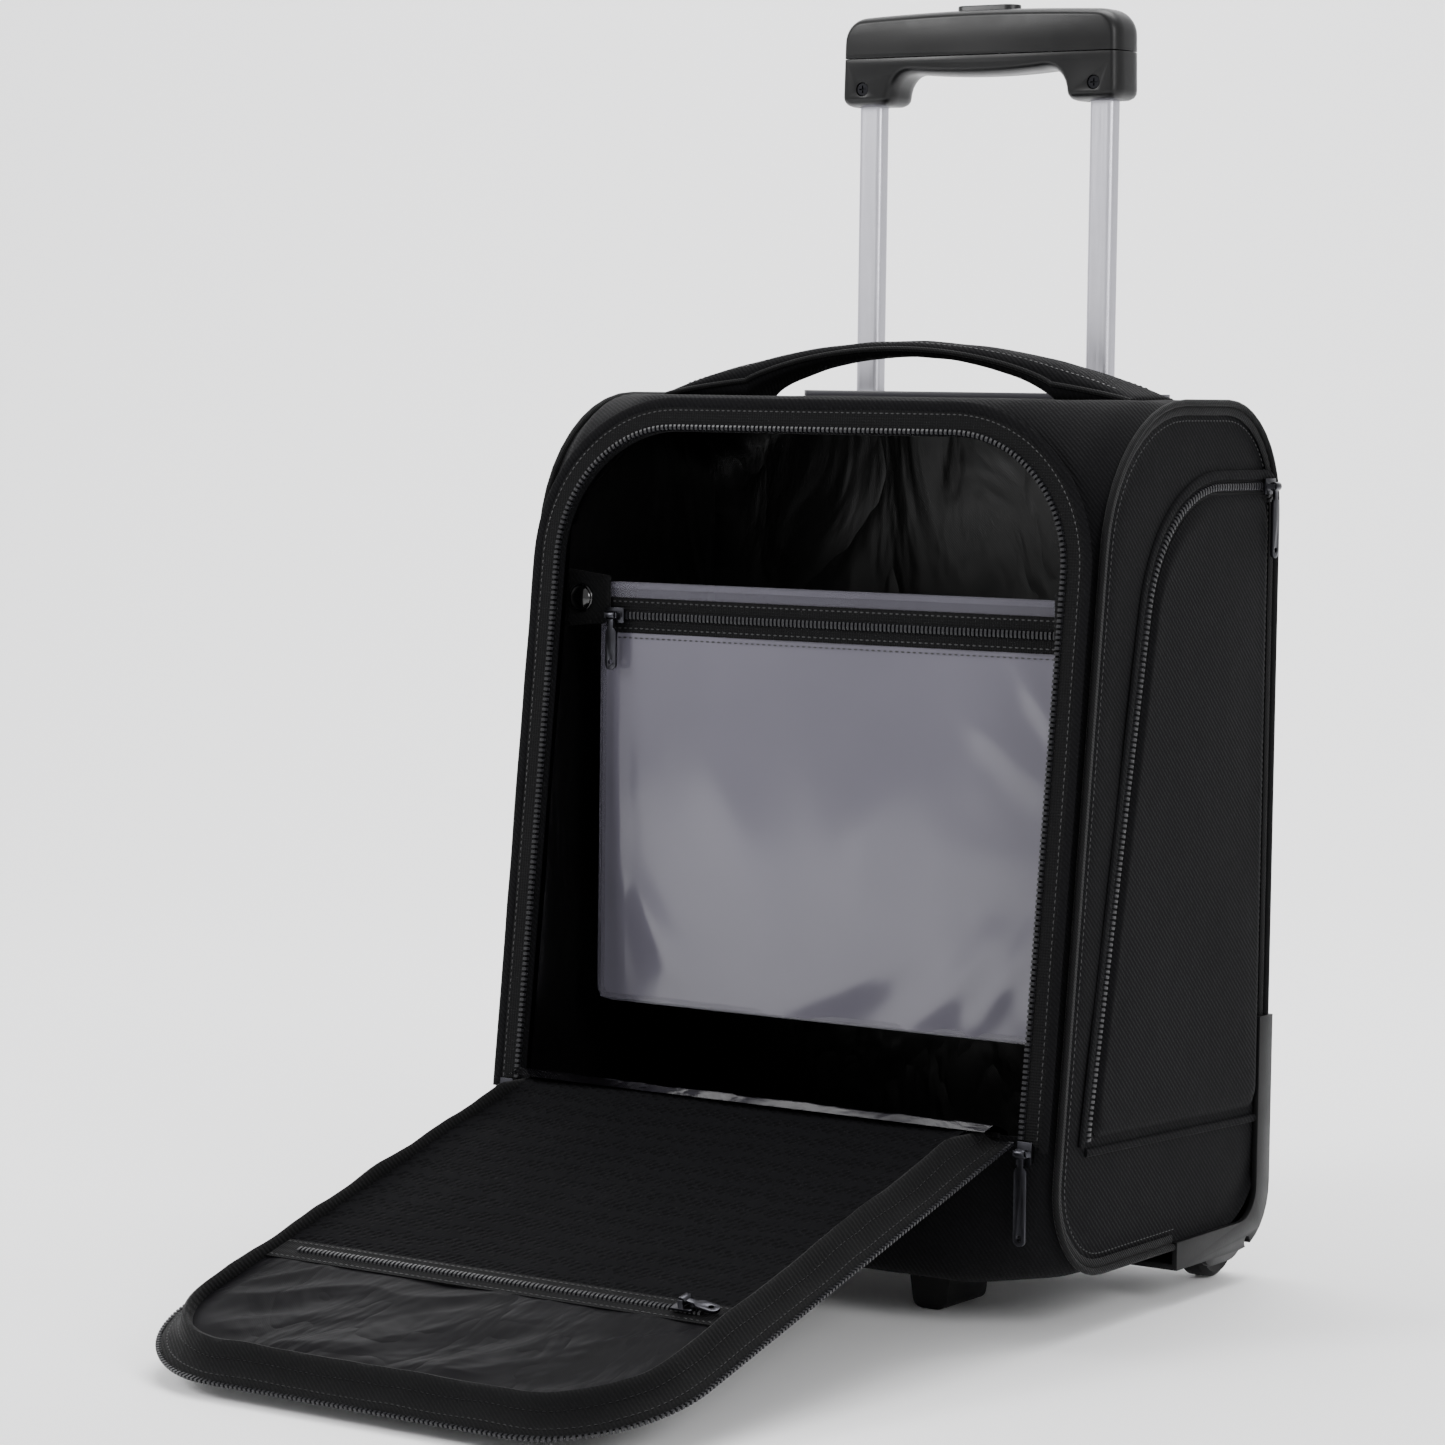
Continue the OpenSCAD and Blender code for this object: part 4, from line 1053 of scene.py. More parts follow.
@dataclass
class SidePocket:
    """The flat pocket on the right side panel, with its coil zip."""

    reach: float = 0.187
    top: float = 0.405
    low: float = 0.088
    lift: float = 4 * MM

    def outline(self, d: float) -> np.ndarray:
        """The pocket's outline drawn in by d, as rows of y and z."""
        b = CASE.back
        return rounded([(b - self.reach + d, self.low + d), (b - 0.006 - d, self.low - 0.006 + d),
                        (b - 0.006 - d, self.top - d), (b - 0.124 + d, self.top - d)],
                       [0.006, 0.006, 0.010, max(0.075 - d, 0.004)], 14)

    def at_side(self, line: np.ndarray, out: float) -> np.ndarray:
        """Rows of y and z set out by out from the side panel."""
        return np.column_stack([np.full(len(line), CASE.width / 2 + out), line])

    def build(self) -> None:
        """Builds the pocket's cloth, its zip and its folded welt."""
        side = np.array([1.0, 0.0, 0.0])
        edge = spaced(self.outline(6.5 * MM), 3.5 * MM, True)
        centre = edge.mean(axis=0)
        rows = []
        for share in np.concatenate([[0, 0.004, 0.012, 0.03], np.linspace(0.06, 0.985, 30)]):
            line = edge * (1 - share) + centre * share
            row = self.at_side(line, 0.0)
            swell = 0.9 * MM + (self.lift - 1.5 * MM) * float(ease(share / 0.03)) * (0.8 + 0.2 * share)
            row[:, 0] += swell + 1.1 * MM * ruffle(row, 70, 8.0, (1, 1, 0.5)) * min(1.0, share * 5)
            rows.append(row)
        rows.insert(0, self.at_side(edge, 0.2 * MM))
        draft = Draft()
        draft.loft(np.array(rows), True, caps=True)
        dress(draft.piece("side_pocket_cloth", 50.0), Wear.SHELL, "case", "pocket_fabric",
                        "side_pocket_panel")
        line = spaced(self.outline(2.2 * MM), 3 * MM, True)
        shown = line[(line[:, 1] > self.low + 0.004)
                     & ~((line[:, 0] > CASE.back - 0.012) & (line[:, 1] < 0.395))]
        start = int(np.argmax(np.linalg.norm(np.diff(np.vstack([shown, shown[:1]]), axis=0), axis=1))) + 1
        shown = np.roll(shown, -start, axis=0)
        teeth = Draft()
        coil(teeth, self.at_side(shown, 0.5 * MM), side, 4.2, 1.6, 2.6)
        dress(teeth.piece("side_pocket_teeth", 60.0), Wear.COIL, "case", "zip_teeth", "side_pocket_zip")
        trim = Draft()
        trim.loft(swept(self.at_side(shown, 0.35 * MM), side,
                        flat_section(-5 * MM, 5 * MM, -0.3 * MM, 0.2 * MM)), True)
        dress(trim.piece("side_pocket_tape"), Wear.TAPE, "case", "zip_teeth")
        welt = Draft()
        outer = spaced(self.outline(-3.6 * MM), 3 * MM, True)
        keep = outer[(outer[:, 1] > self.low + 0.002)
                     & ~((outer[:, 0] > CASE.back - 0.006) & (outer[:, 1] < 0.400))]
        start = int(np.argmax(np.linalg.norm(np.diff(np.vstack([keep, keep[:1]]), axis=0), axis=1))) + 1
        keep = np.roll(keep, -start, axis=0)
        welt.loft(swept(self.at_side(keep, 0.8 * MM), side, round_section(5 * MM, 2.4 * MM, 8)), True)
        foot = np.array([(CASE.back - 0.185, self.low), (CASE.back - 0.006, self.low - 0.006)])
        welt.loft(swept(self.at_side(spaced(foot, 4 * MM), 0.9 * MM), side, round_section(4 * MM, 2 * MM, 8)),
                  True)
        dress(welt.piece("side_pocket_welt"), Wear.SHELL, "case", "pocket_fabric")


@dataclass
class CarryHandle:
    """The padded carry handle, whose flared ends are sewn into the top."""

    half: float = 0.138
    gap: float = 0.091
    rise: float = 28 * MM
    thick: float = 9 * MM
    width: float = 30 * MM

    def upper(self, x: np.ndarray) -> np.ndarray:
        """Height of the handle's top at x."""
        return CASE.height + 1.5 * MM + (self.rise - 1.0 * MM) * np.cos(np.clip(x / self.half, -1,
                                                                                1) * math.pi / 2) ** 0.8

    def lower(self, x: np.ndarray) -> np.ndarray:
        """Height of the handle's underside at x."""
        span = (self.rise - self.thick + 3.5 * MM) * np.clip(1 - (x / self.gap) ** 2, 0, 1) ** 0.8
        return CASE.height - 2 * MM + span

    def section(self, x: float) -> np.ndarray:
        """One ring across the handle at x.

        Args:
            x: Distance from the middle.

        Returns:
            Rows of three coordinates.
        """
        flare = float(ease((abs(x) - 0.070) / (self.half - 0.070)))
        wide = self.width / 2 + flare * 6 * MM
        low, high = float(self.lower(np.array(x))), float(self.upper(np.array(x)))
        at = np.linspace(0, 2 * math.pi, 32, endpoint=False)
        c, s = np.cos(at), np.sin(at)
        y = np.sign(c) * np.abs(c) ** 0.62 * wide
        z = (low + high) / 2 + np.sign(s) * np.abs(s) ** 0.7 * (high - low) / 2
        middle = CASE.back - CASE.depth / 2
        return np.column_stack([np.full(32, x), middle + y, z])

    def build(self) -> None:
        """Builds the handle, its edge cords and its stitched seams."""
        xs = np.concatenate([np.linspace(-self.half, -self.gap - 0.001, 24),
                             np.linspace(-self.gap, self.gap, 61),
                             np.linspace(self.gap + 0.001, self.half, 24)])
        rings = np.array([self.section(x) for x in xs])
        middle = rings.mean(axis=1, keepdims=True)
        pucker = 0.6 * MM * ruffle(rings, 16, 4.0, (0.9, 0.5, 0.5)) + 0.5 * MM * ruffle(rings, 40, 2.0)
        rings = rings + unit(rings - middle) * pucker[..., None]
        draft = Draft()
        draft.loft(rings, True)
        dress(draft.piece("carry_handle_pad", 60.0), Wear.SHELL, "case", "carry_fabric",
                        "carry_handle")
        cord, thread = Draft(), Draft()
        for side in (-1, 1):
            edge = rings[:, 0 if side > 0 else 16, :].copy()
            edge[:, 1] += side * 0.3 * MM
            out = np.array([0.0, side, 0.0])
            cord.loft(swept(edge, out, round_section(2.6 * MM, 2.6 * MM, 8)), True)
            seam = rings[6:-6, 4 if side > 0 else 12, :]
            stitches(thread, seam, np.array([0.0, side * 0.5, 0.9]))
        dress(cord.piece("carry_handle_cord"), Wear.PIPING, "case", "carry_fabric")
        dress(thread.piece("carry_handle_thread"), Wear.THREAD, "case", "carry_fabric")


# ------------------------------------------------------------------ pouch
@dataclass
class Pouch:
    """The clear zipped pouch on its two press studs."""

    width: float = 0.274
    height: float = 0.214
    low: float = 0.134
    y: float = CASE.back - 0.160
    zip_down: float = 16 * MM
    folds: tuple = ((-0.127, 0.24, 0.03, 0.005, 0.08, 2.2 * MM), (0.122, 0.30, 0.60, 0.006, 0.034, 1.8 * MM),
                    (0.100, 0.28, 0.85, 0.010, 0.035, 1.6 * MM),
                    (0.108, 0.165, -0.62, 0.007, 0.040, 1.5 * MM),
                    (0.078, 0.158, -0.85, 0.011, 0.048, 1.5 * MM),
                    (0.015, 0.155, -1.15, 0.014, 0.050, 1.4 * MM),
                    (-0.06, 0.25, 0.25, 0.018, 0.060, 2.6 * MM), (0.03, 0.24, -0.20, 0.022, 0.060, 2.8 * MM),
                    (-0.10, 0.17, 0.7, 0.012, 0.04, 1.6 * MM))

    def sheet(self, name: str, y: float, z0: float, z1: float, bulge: float, wear: Wear,
              *nodes: str) -> Piece:
        """One panel of clear sheet, creased and slightly bellied.

        Args:
            name: The piece's name.
            y: Its place.
            z0: Its lower edge.
            z1: Its upper edge.
            bulge: How far its middle stands forward.
            wear: Its finish.
            *nodes: The nodes it stands for.

        Returns:
            The piece.
        """
        rows, columns = max(6, int((z1 - z0) / (3.2 * MM))), 84
        u, v = np.meshgrid(np.linspace(-1, 1, columns), np.linspace(0, 1, rows))
        grid = np.stack([u * self.width / 2, np.full_like(u, y), z0 + v * (z1 - z0)], axis=-1)
        corner = (np.exp(-((u - 0.95) ** 2 + (v - 0.1) ** 2) * 5)
                  + np.exp(-((u - 0.9) ** 2 + (v - 1.0) ** 2) * 6))
        drape = ruffle(grid, 75, 2.0, (1, 1, 0.45)) + corner * 0.9 * ruffle(grid, 26, 5.0, (1, 1, 1))
        belly = (1 - u ** 4) * np.sin(np.clip(v, 0, 1) * math.pi * 0.9 + 0.15)
        pulled = sum((h * np.exp(-((grid[..., 0] - x) * math.cos(a)
                                   + (grid[..., 2] - z) * math.sin(a)) ** 2 / (w * w))
                      * np.exp(-((grid[..., 2] - z) * math.cos(a)
                                 - (grid[..., 0] - x) * math.sin(a)) ** 2 / (l * l))
                      for x, z, a, w, l, h in self.folds))
        grid[..., 1] -= bulge * belly + (0.8 * MM * drape + pulled) * (1 - 0.6 * u ** 8) * min(1.0,
                                                                                               (z1 - z0) / 0.05)
        draft = Draft()
        draft.loft(grid, False)
        made = draft.piece(name, 60.0)
        dress(made, wear, "case", "clear_vinyl", *nodes)
        return made

    def build(self) -> None:
        """Builds the sheets, the zip, the welded edges and the tabs."""
        top, zip_z = self.low + self.height, self.low + self.height - self.zip_down
        for side, name in ((-1, "left"), (1, "right")):
            self.tab(side, name, top - 8 * MM)
        self.snaps()
        self.sheet("pouch_back_sheet", self.y + 1.6 * MM, self.low, top, -0.2 * MM, Wear.CLEAR)
        self.sheet("pouch_front_sheet", self.y - 1.4 * MM, self.low, zip_z - 8 * MM, 3.4 * MM, Wear.VINYL,
                   "pouch_sheets")
        self.sheet("pouch_top_strip", self.y - 1.9 * MM, zip_z + 4.5 * MM, top, 0.0, Wear.CLEAR)
        out = np.array([0.0, -1.0, 0.0])
        half = self.width / 2
        teeth, tape, rim, thread = Draft(), Draft(), Draft(), Draft()
        front = self.y - 2.0 * MM
        path = spaced(np.array([(-half + 0.004, front - 0.9 * MM, zip_z),
                                (half - 0.004, front - 0.9 * MM, zip_z)]), 4 * MM)
        coil(teeth, path, out, 4.4, 1.6, 2.4)
        band = path + np.array([0, 0.5 * MM, 0])
        tape.loft(swept(band, out, flat_section(-9 * MM, 9 * MM, -0.3 * MM, 0.3 * MM)), True)
        for z in (zip_z + 7.0 * MM, zip_z - 6.6 * MM, zip_z - 11.5 * MM):
            stitches(thread, path * np.array([1, 1, 0]) + np.array([0, 0.3 * MM, z]), out, 3.4, 0.7)
        frame_line = spaced(rounded([(-half, self.low), (half, self.low), (half, top), (-half, top)],
                                    [0.005] * 4, 6), 5 * MM, True)
        loop = np.column_stack([frame_line[:, 0], np.full(len(frame_line), self.y - 1.2 * MM),
                                frame_line[:, 1]])
        rim.loft(swept(loop, out, flat_section(-2.4 * MM, 1.0 * MM, -1.6 * MM, 1.3 * MM), True), True, True)
        dress(teeth.piece("pouch_zip_teeth", 60.0), Wear.COIL, "case", "zip_teeth", "pouch_zip")
        dress(tape.piece("pouch_zip_tape"), Wear.TAPE, "case", "zip_teeth")
        dress(rim.piece("pouch_welded_edge"), Wear.CLEAR, "case", "clear_vinyl")
        dress(thread.piece("pouch_zip_thread"), Wear.THREAD, "case", "zip_teeth")

    def snaps(self) -> None:
        """Domed press-stud caps with a rolled rim, one on each tab."""
        low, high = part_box("pouch_snaps")
        z, x = (low.z + high.z) / 2, (high.x - low.x) / 2 - 6 * MM
        parts = []
        for side in (-1, 1):
            bpy.ops.mesh.primitive_uv_sphere_add(segments=36, ring_count=20, radius=1,
                                                 location=(side * x, self.y - 5.2 * MM, z),
                                                 scale=(6.6 * MM, 3.4 * MM, 6.6 * MM))
            parts.append(bpy.context.object)
            bpy.ops.mesh.primitive_torus_add(major_radius=6.7 * MM, minor_radius=0.9 * MM, major_segments=36,
                                             minor_segments=10, location=(side * x, self.y - 5.4 * MM, z),
                                             rotation=(math.pi / 2, 0, 0))
            parts.append(bpy.context.object)
        for part in parts:
            part.select_set(True)
        bpy.context.view_layer.objects.active = parts[0]
        bpy.ops.object.join()
        caps = bpy.context.object
        bpy.ops.object.transform_apply(location=True, rotation=True, scale=True)
        caps.name = "pouch_snap_caps"
        smooth(caps, 60.0)
        dress(caps, Wear.SNAP, "case", "snap_black", "pouch_snaps")

    def tab(self, side: int, name: str, z: float) -> None:
        """A cloth tab from the side lining to the press stud."""
        near, far = self.width / 2 - 0.006, CASE.width / 2 - 0.006
        xs = np.linspace(near, far, 12)
        rows = np.linspace(-0.012, 0.012, 9)
        grid = np.array([[(side * x, self.y - 4.4 * MM - 0.4 * MM * math.sin((x - near) * 60),
                           z + r * (1 + 0.25 * (x - near) / (far - near)))
                          for r in rows] for x in xs])
        draft = Draft()
        draft.loft(grid, False)
        made = draft.piece(f"pouch_tab_{name}", 60.0)
        modify(made, "SOLIDIFY", thickness=0.9 * MM, offset=0.0)
        dress(made, Wear.SKIRT, "case", "shell_fabric", *(["pouch_tabs"] if side > 0 else []))


# ------------------------------------------------------------------ flap
@dataclass
class Flap:
    """The front flap: padded outside, knitted pocket and nylon inside, cloth skirt out to the teeth."""

    gap: float = 5 * MM
    thick: float = 8 * MM
    inside: float = 8 * MM
    mesh_z: float = 0.221
    mesh_w: float = 0.226
    tooth_w: float = 3.0

    def plate(self, d: float, z0: float, z1: float, rows: int, columns: int) -> np.ndarray:
        """A grid over the flap's plane, drawn in by d from the zip's line.

        Args:
            d: How far it is drawn in.
            z0: Its edge nearer the hinge.
            z1: Its outer edge.
            rows: Points outward.
            columns: Points across.

        Returns:
            Local points, at height 0.
        """
        z = np.linspace(z0, z1, rows)
        u = np.linspace(-1, 1, columns)
        half = CASE.half_width(z, d)
        return np.stack([half[:, None] * u[None, :], np.zeros((rows, columns)),
                         np.repeat(z[:, None], columns, 1)], -1)

    def build(self) -> None:
        """Builds the flap's pieces."""
        self.outside()
        self.border()
        self.linings()
        teeth = Draft()
        coil(teeth, on_plane(CASE.zip_path(-1.8 * MM, self.gap), -0.6 * MM, CASE.on_flap), -FLAP_UP,
             self.tooth_w, 2.0, 2.6)
        dress(teeth.piece("flap_zip_teeth", 60.0), Wear.COIL, "flap", "zip_teeth", "flap_zip_chain")

    def outside(self) -> None:
        """The padded outer panel, crowned, with a sewn channel round it."""
        draft = Draft()
        grid = self.plate(2.0 * MM, self.gap, CASE.zip_l - 2.0 * MM, 90, 80)
        reach = np.minimum(CASE.edge_distance(grid[..., 0], grid[..., 2]) - 2 * MM, grid[..., 2] - self.gap)
        crown = 1 - (1 - np.clip(reach / (24 * MM), 0, 1)) ** 3
        seam = np.exp(-((reach - 38 * MM) / (2.2 * MM)) ** 2)
        world = CASE.on_flap(grid)
        soft = ruffle(world, 80, 2.2) * 0.9 + ruffle(world, 30, 6.0) * 0.3
        grid[..., 1] = (-1.2 * MM - crown * (self.thick - 2.4 * MM) + seam * 1.6 * MM
                        - soft * MM * np.clip(reach / 0.02, 0, 1))
        draft.loft(CASE.on_flap(grid), False)
        lid = grid.copy()
        lid[..., 1] = -0.6 * MM
        draft.loft(CASE.on_flap(lid), False)
        for a, b in ((grid[0], lid[0]), (lid[-1], grid[-1]), (lid[:, 0], grid[:, 0]),
                     (grid[:, -1], lid[:, -1])):
            draft.loft(CASE.on_flap(np.array([a, b])), False)
        made = draft.piece("flap_outer_pad", 50.0, 2e-5)
        dress(made, Wear.SHELL, "flap", "shell_fabric", "flap_panel")
        thread = Draft()
        for inset in (36.0, 41.0):
            path = on_plane(CASE.zip_path(-inset * MM, 0.036), -self.thick + 1.1 * MM, CASE.on_flap)
            stitches(thread, path, -FLAP_UP)
        dress(thread.piece("flap_outer_thread"), Wear.THREAD, "flap", "shell_fabric")

    def border(self) -> None:
        """The cloth skirt that droops from the rim to the teeth, and the rim's soft ridge."""
        section = np.array([(-2.2, -1.5), (-2.6, -0.7), (-6.0, 0.9), (-9.5, 3.2), (-12.0, 6.2), (-13.4, 9.8),
                            (-14.6, 12.2),
                            (-16.2, 13.0), (-17.8, 12.2), (-18.7, 10.0), (-19.0, 7.6), (-17.0, 3.0),
                            (-13.0, 1.0),
                            (-8.0, -1.0), (-4.0, -1.7)]) * MM
        base = CASE.zip_path(0.0, self.gap + 4 * MM, 2.5 * MM)
        path = on_plane(base, 0.0, CASE.on_flap)
        rings = swept(path, FLAP_UP, section * np.array([-1.0, 1.0]))
        inward = np.linalg.norm(rings[len(rings) // 2, 7] - CASE.on_flap(np.array([0, 0,
                                                                                   0.16]))) < np.linalg.norm(
            path[len(path) // 2] - CASE.on_flap(np.array([0, 0, 0.16])))
        if not inward:
            rings = swept(path, FLAP_UP, section)
        share = np.linspace(0, 1, len(path))
        wave = ruffle(rings, 34, 5.0) * 1.5 + ruffle(rings, 13, 1.0) * 0.45
        weight = np.interp(np.arange(len(section)), [0, 1, 4, 7, 9, 14], [0, 0.2, 1.2, 0.9, 0.4, 0])
        rings = rings + (wave * weight[None, :] * MM)[..., None] * FLAP_UP
        taper = np.clip(np.minimum(share, 1 - share) / 0.03, 0.15, 1)
        lifted = (rings - path[:, None, :]) @ FLAP_UP
        rings = rings - ((lifted - 0.0) * (1 - taper[:, None]) * 0.6)[..., None] * FLAP_UP
        draft = Draft()
        draft.loft(rings, True)
        dress(draft.piece("flap_skirt_and_rim", 50.0), Wear.SKIRT, "flap", "shell_fabric",
                        "flap_rim")
        thread = Draft()
        for k in (2, 4):
            stitches(thread, rings[:, k, :], FLAP_UP)
        dress(thread.piece("flap_skirt_thread"), Wear.THREAD, "flap", "shell_fabric")

    def linings(self) -> None:
        """The knitted pocket, the nylon end and the zip between them."""
        inset = 18.2 * MM
        knit = self.plate(inset, 0.008, self.mesh_z - 4 * MM, 74, 80)
        world = CASE.on_flap(knit)
        sag = ruffle(world, 60, 4.0) * 1.3 + ruffle(world, 22, 2.0) * 0.45
        knit[..., 1] = self.inside - 0.8 * MM + sag * 0.9 * MM
        edge = np.abs(knit[..., 0]) / CASE.half_width(knit[..., 2], inset)
        knit[..., 1] += ease((edge - 0.93) / 0.07) * 1.5 * MM
        draft = Draft()
        draft.loft(CASE.on_flap(knit), False)
        made = dress(draft.piece("flap_knit_pocket", 60.0), Wear.KNIT, "flap", "mesh_knit", "flap_lining")
        end = self.plate(inset, self.mesh_z + 3 * MM, CASE.zip_l - inset, 70, 170)
        world = CASE.on_flap(end)
        rake = np.stack([world[..., 0] + 0.5 * world[..., 1], world[..., 1] - 0.6 * world[..., 0],
                         world[..., 2]], -1)
        fold = creases(rake, 46, 3.0, (0.5, 1.6, 1)) * 2.0 + creases(rake, 22, 8.0, (0.5, 1.5, 1)) * 0.5
        border = np.clip(np.minimum(CASE.edge_distance(end[..., 0], end[..., 2]) - inset,
                                    end[..., 2] - self.mesh_z) / 0.012, 0, 1)
        end[..., 1] = self.inside - 0.6 * MM + fold * border * MM * 0.9
        draft = Draft()
        draft.loft(CASE.on_flap(end), False)
        made = dress(draft.piece("flap_end_lining", 60.0), Wear.END_LINING, "flap", "lining_nylon")
        path = on_plane(np.array([(x, self.mesh_z) for x in np.linspace(-self.mesh_w / 2, self.mesh_w / 2,
                                                                        60)]),
                        self.inside + 0.7 * MM, CASE.on_flap)
        teeth, tape, thread = Draft(), Draft(), Draft()
        coil(teeth, path, FLAP_UP, 4.4, 1.5, 2.4)
        dress(teeth.piece("mesh_pocket_teeth", 60.0), Wear.COIL, "flap", "zip_teeth", "mesh_pocket_zip")
        wide = on_plane(np.array([(x, self.mesh_z) for x in np.linspace(-0.1265, 0.1265, 60)]),
                        self.inside + 0.5 * MM,
                        CASE.on_flap)
        tape.loft(swept(wide, FLAP_UP, flat_section(-9 * MM, 9 * MM, -0.6 * MM, 0.3 * MM)), True)
        dress(tape.piece("mesh_pocket_tape"), Wear.TAPE, "flap", "zip_teeth")
        for z in (self.mesh_z - 7 * MM, self.mesh_z + 7 * MM):
            line = on_plane(np.array([(x, z) for x in np.linspace(-0.125, 0.125, 60)]),
                            self.inside + 0.8 * MM, CASE.on_flap)
            stitches(thread, line, FLAP_UP)
        dress(thread.piece("mesh_pocket_thread"), Wear.THREAD, "flap", "zip_teeth")


# ------------------------------------------------------------------ hardware
@dataclass
class Grip:
    """The moulded grip: a rounded hand bar on two collars, split by its parting line."""

    width: float = 0.167
    depth: float = 0.026
    collar_w: float = 0.031
    collar_h: float = 0.017
    height: float = 0.045
    edge: float = 8.5 * MM
    face_inset: float = 4.2 * MM
    parting: float = 0.025
    swell: float = 1.0 * MM
    arch: float = 2.5 * MM
    belly: float = 2.5 * MM

    def outline(self, z0: float) -> np.ndarray:
        """The grip's outline from the front, as rows of x and z."""
        w, c, top, bar = self.width / 2, self.collar_w, z0 + self.height, z0 + self.collar_h
        line = rounded([(-w, z0), (-w + c, z0), (-w + c + 0.002, bar), (w - c - 0.002, bar), (w - c, z0),
                        (w, z0),
                        (w - 0.001, top), (-w + 0.001, top)],
                       [0.005, 0.005, 0.012, 0.012, 0.005, 0.005, 0.012, 0.012], 8)
        line = spaced(line, 2.5 * MM, True)
        share = np.clip(line[:, 0] / w, -1, 1) ** 2
        crown = self.swell + self.arch * (1 - share)
        belly = self.belly * np.clip(1 - (line[:, 0] / (w - c - 0.006)) ** 2, 0, 1)
        over = np.clip((line[:, 1] - bar - 0.008) / (top - bar - 0.008), 0, 1)
        line[:, 1] += np.where(line[:, 1] > bar + 0.008, crown * over,
                               np.where(np.abs(line[:, 0]) < w - c, -belly, 0.0))
        return line

    def build(self) -> None:
        """Builds both halves of the grip and dresses what is set in it."""
        low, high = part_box("grip_lower"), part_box("grip_upper")
        z0, y = low[0].z, (low[0].y + low[1].y) / 2
        line = self.outline(z0)
        draft = Draft()
        flow = unit(np.roll(line, -1, axis=0) - np.roll(line, 1, axis=0))
        inward = np.column_stack([-flow[:, 1], flow[:, 0]])
        rows = []
        for side in (-1, 1):
            for k in (range(7) if side > 0 else range(6, -1, -1)):
                t = k / 6 * math.pi / 2
                out = self.depth / 2 - self.edge * (1 - math.sin(t))
                ring = line + inward * self.face_inset * (1 - math.cos(t))
                rows.append(np.column_stack([ring[:, 0], np.full(len(ring), y + side * out), ring[:, 1]]))
        draft.loft(np.array(rows), True)
        body = draft.piece("grip_blank", 50.0)
        self.bore(body, y, z0)
        split = z0 + self.parting
        for name, node, keep_above in (("grip_upper_half", "grip_upper", True),
                                       ("grip_lower_half", "grip_lower", False)):
            half = bpy.data.objects.new(name, body.data.copy())
            bpy.context.scene.collection.objects.link(half)
            edit(half)
            bpy.ops.mesh.select_all(action="SELECT")
            bpy.ops.mesh.bisect(plane_co=(0, y, split + (0.25 if keep_above else -0.25) * MM),
                                plane_no=(0, 0, 1),
                                use_fill=True, clear_inner=keep_above, clear_outer=not keep_above)
            bpy.ops.object.mode_set(mode="OBJECT")
            modify(half, "BEVEL", width=0.35 * MM, segments=2, limit_method="ANGLE",
                   angle_limit=math.radians(50))
            smooth(half, 35.0)
            dress(half, Wear.GRIP, "inner_stage", "grip_plastic", node)
        bpy.data.objects.remove(body)
        softened("grip_button", "grip_push_button", 1.4, Wear.BUTTON, "release_button", "grip_plastic", 3)

    def bore(self, body: Piece, y: float, z0: float) -> None:
        """Cuts the screw wells, the tube sockets and the button's slot.

        Args:
            body: The grip's blank.
            y: Its middle.
            z0: Its lowest point.
        """
        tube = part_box("inner_tubes")
        x = (tube[1].x + tube[0].x) / 2 + (tube[1].x - tube[0].x) / 2 - 7 * MM
        tools = []
        for side in (-1, 1):
            bpy.ops.mesh.primitive_cylinder_add(vertices=32, radius=3.7 * MM, depth=20 * MM,
                                                location=(side * x, y - 11 * MM - 10 * MM + 3.4 * MM,
                                                          z0 + 9 * MM),
                                                rotation=(math.pi / 2, 0, 0))
            tools.append(bpy.context.object)
            bpy.ops.mesh.primitive_cube_add(size=1, location=(side * x, y, z0 + 5 * MM),
                                            scale=(14.2 * MM, 10.2 * MM, 22 * MM))
            tools.append(bpy.context.object)
        slot = Draft()
        pill = rounded([(-18.6 * MM, -6.6 * MM), (18.6 * MM, -6.6 * MM), (18.6 * MM, 6.6 * MM),
                        (-18.6 * MM, 6.6 * MM)],
                       [6.5 * MM] * 4, 8)
        slot.loft(np.array([np.column_stack([pill[:, 0], pill[:, 1] + y, np.full(len(pill), z)])
                            for z in (z0 + 30 * MM, z0 + 60 * MM)]), True)
        tools.append(slot.piece("button_slot_tool"))
        for tool in tools:
            modify(body, "BOOLEAN", object=tool, operation="DIFFERENCE", solver="EXACT")
            bpy.data.objects.remove(tool)


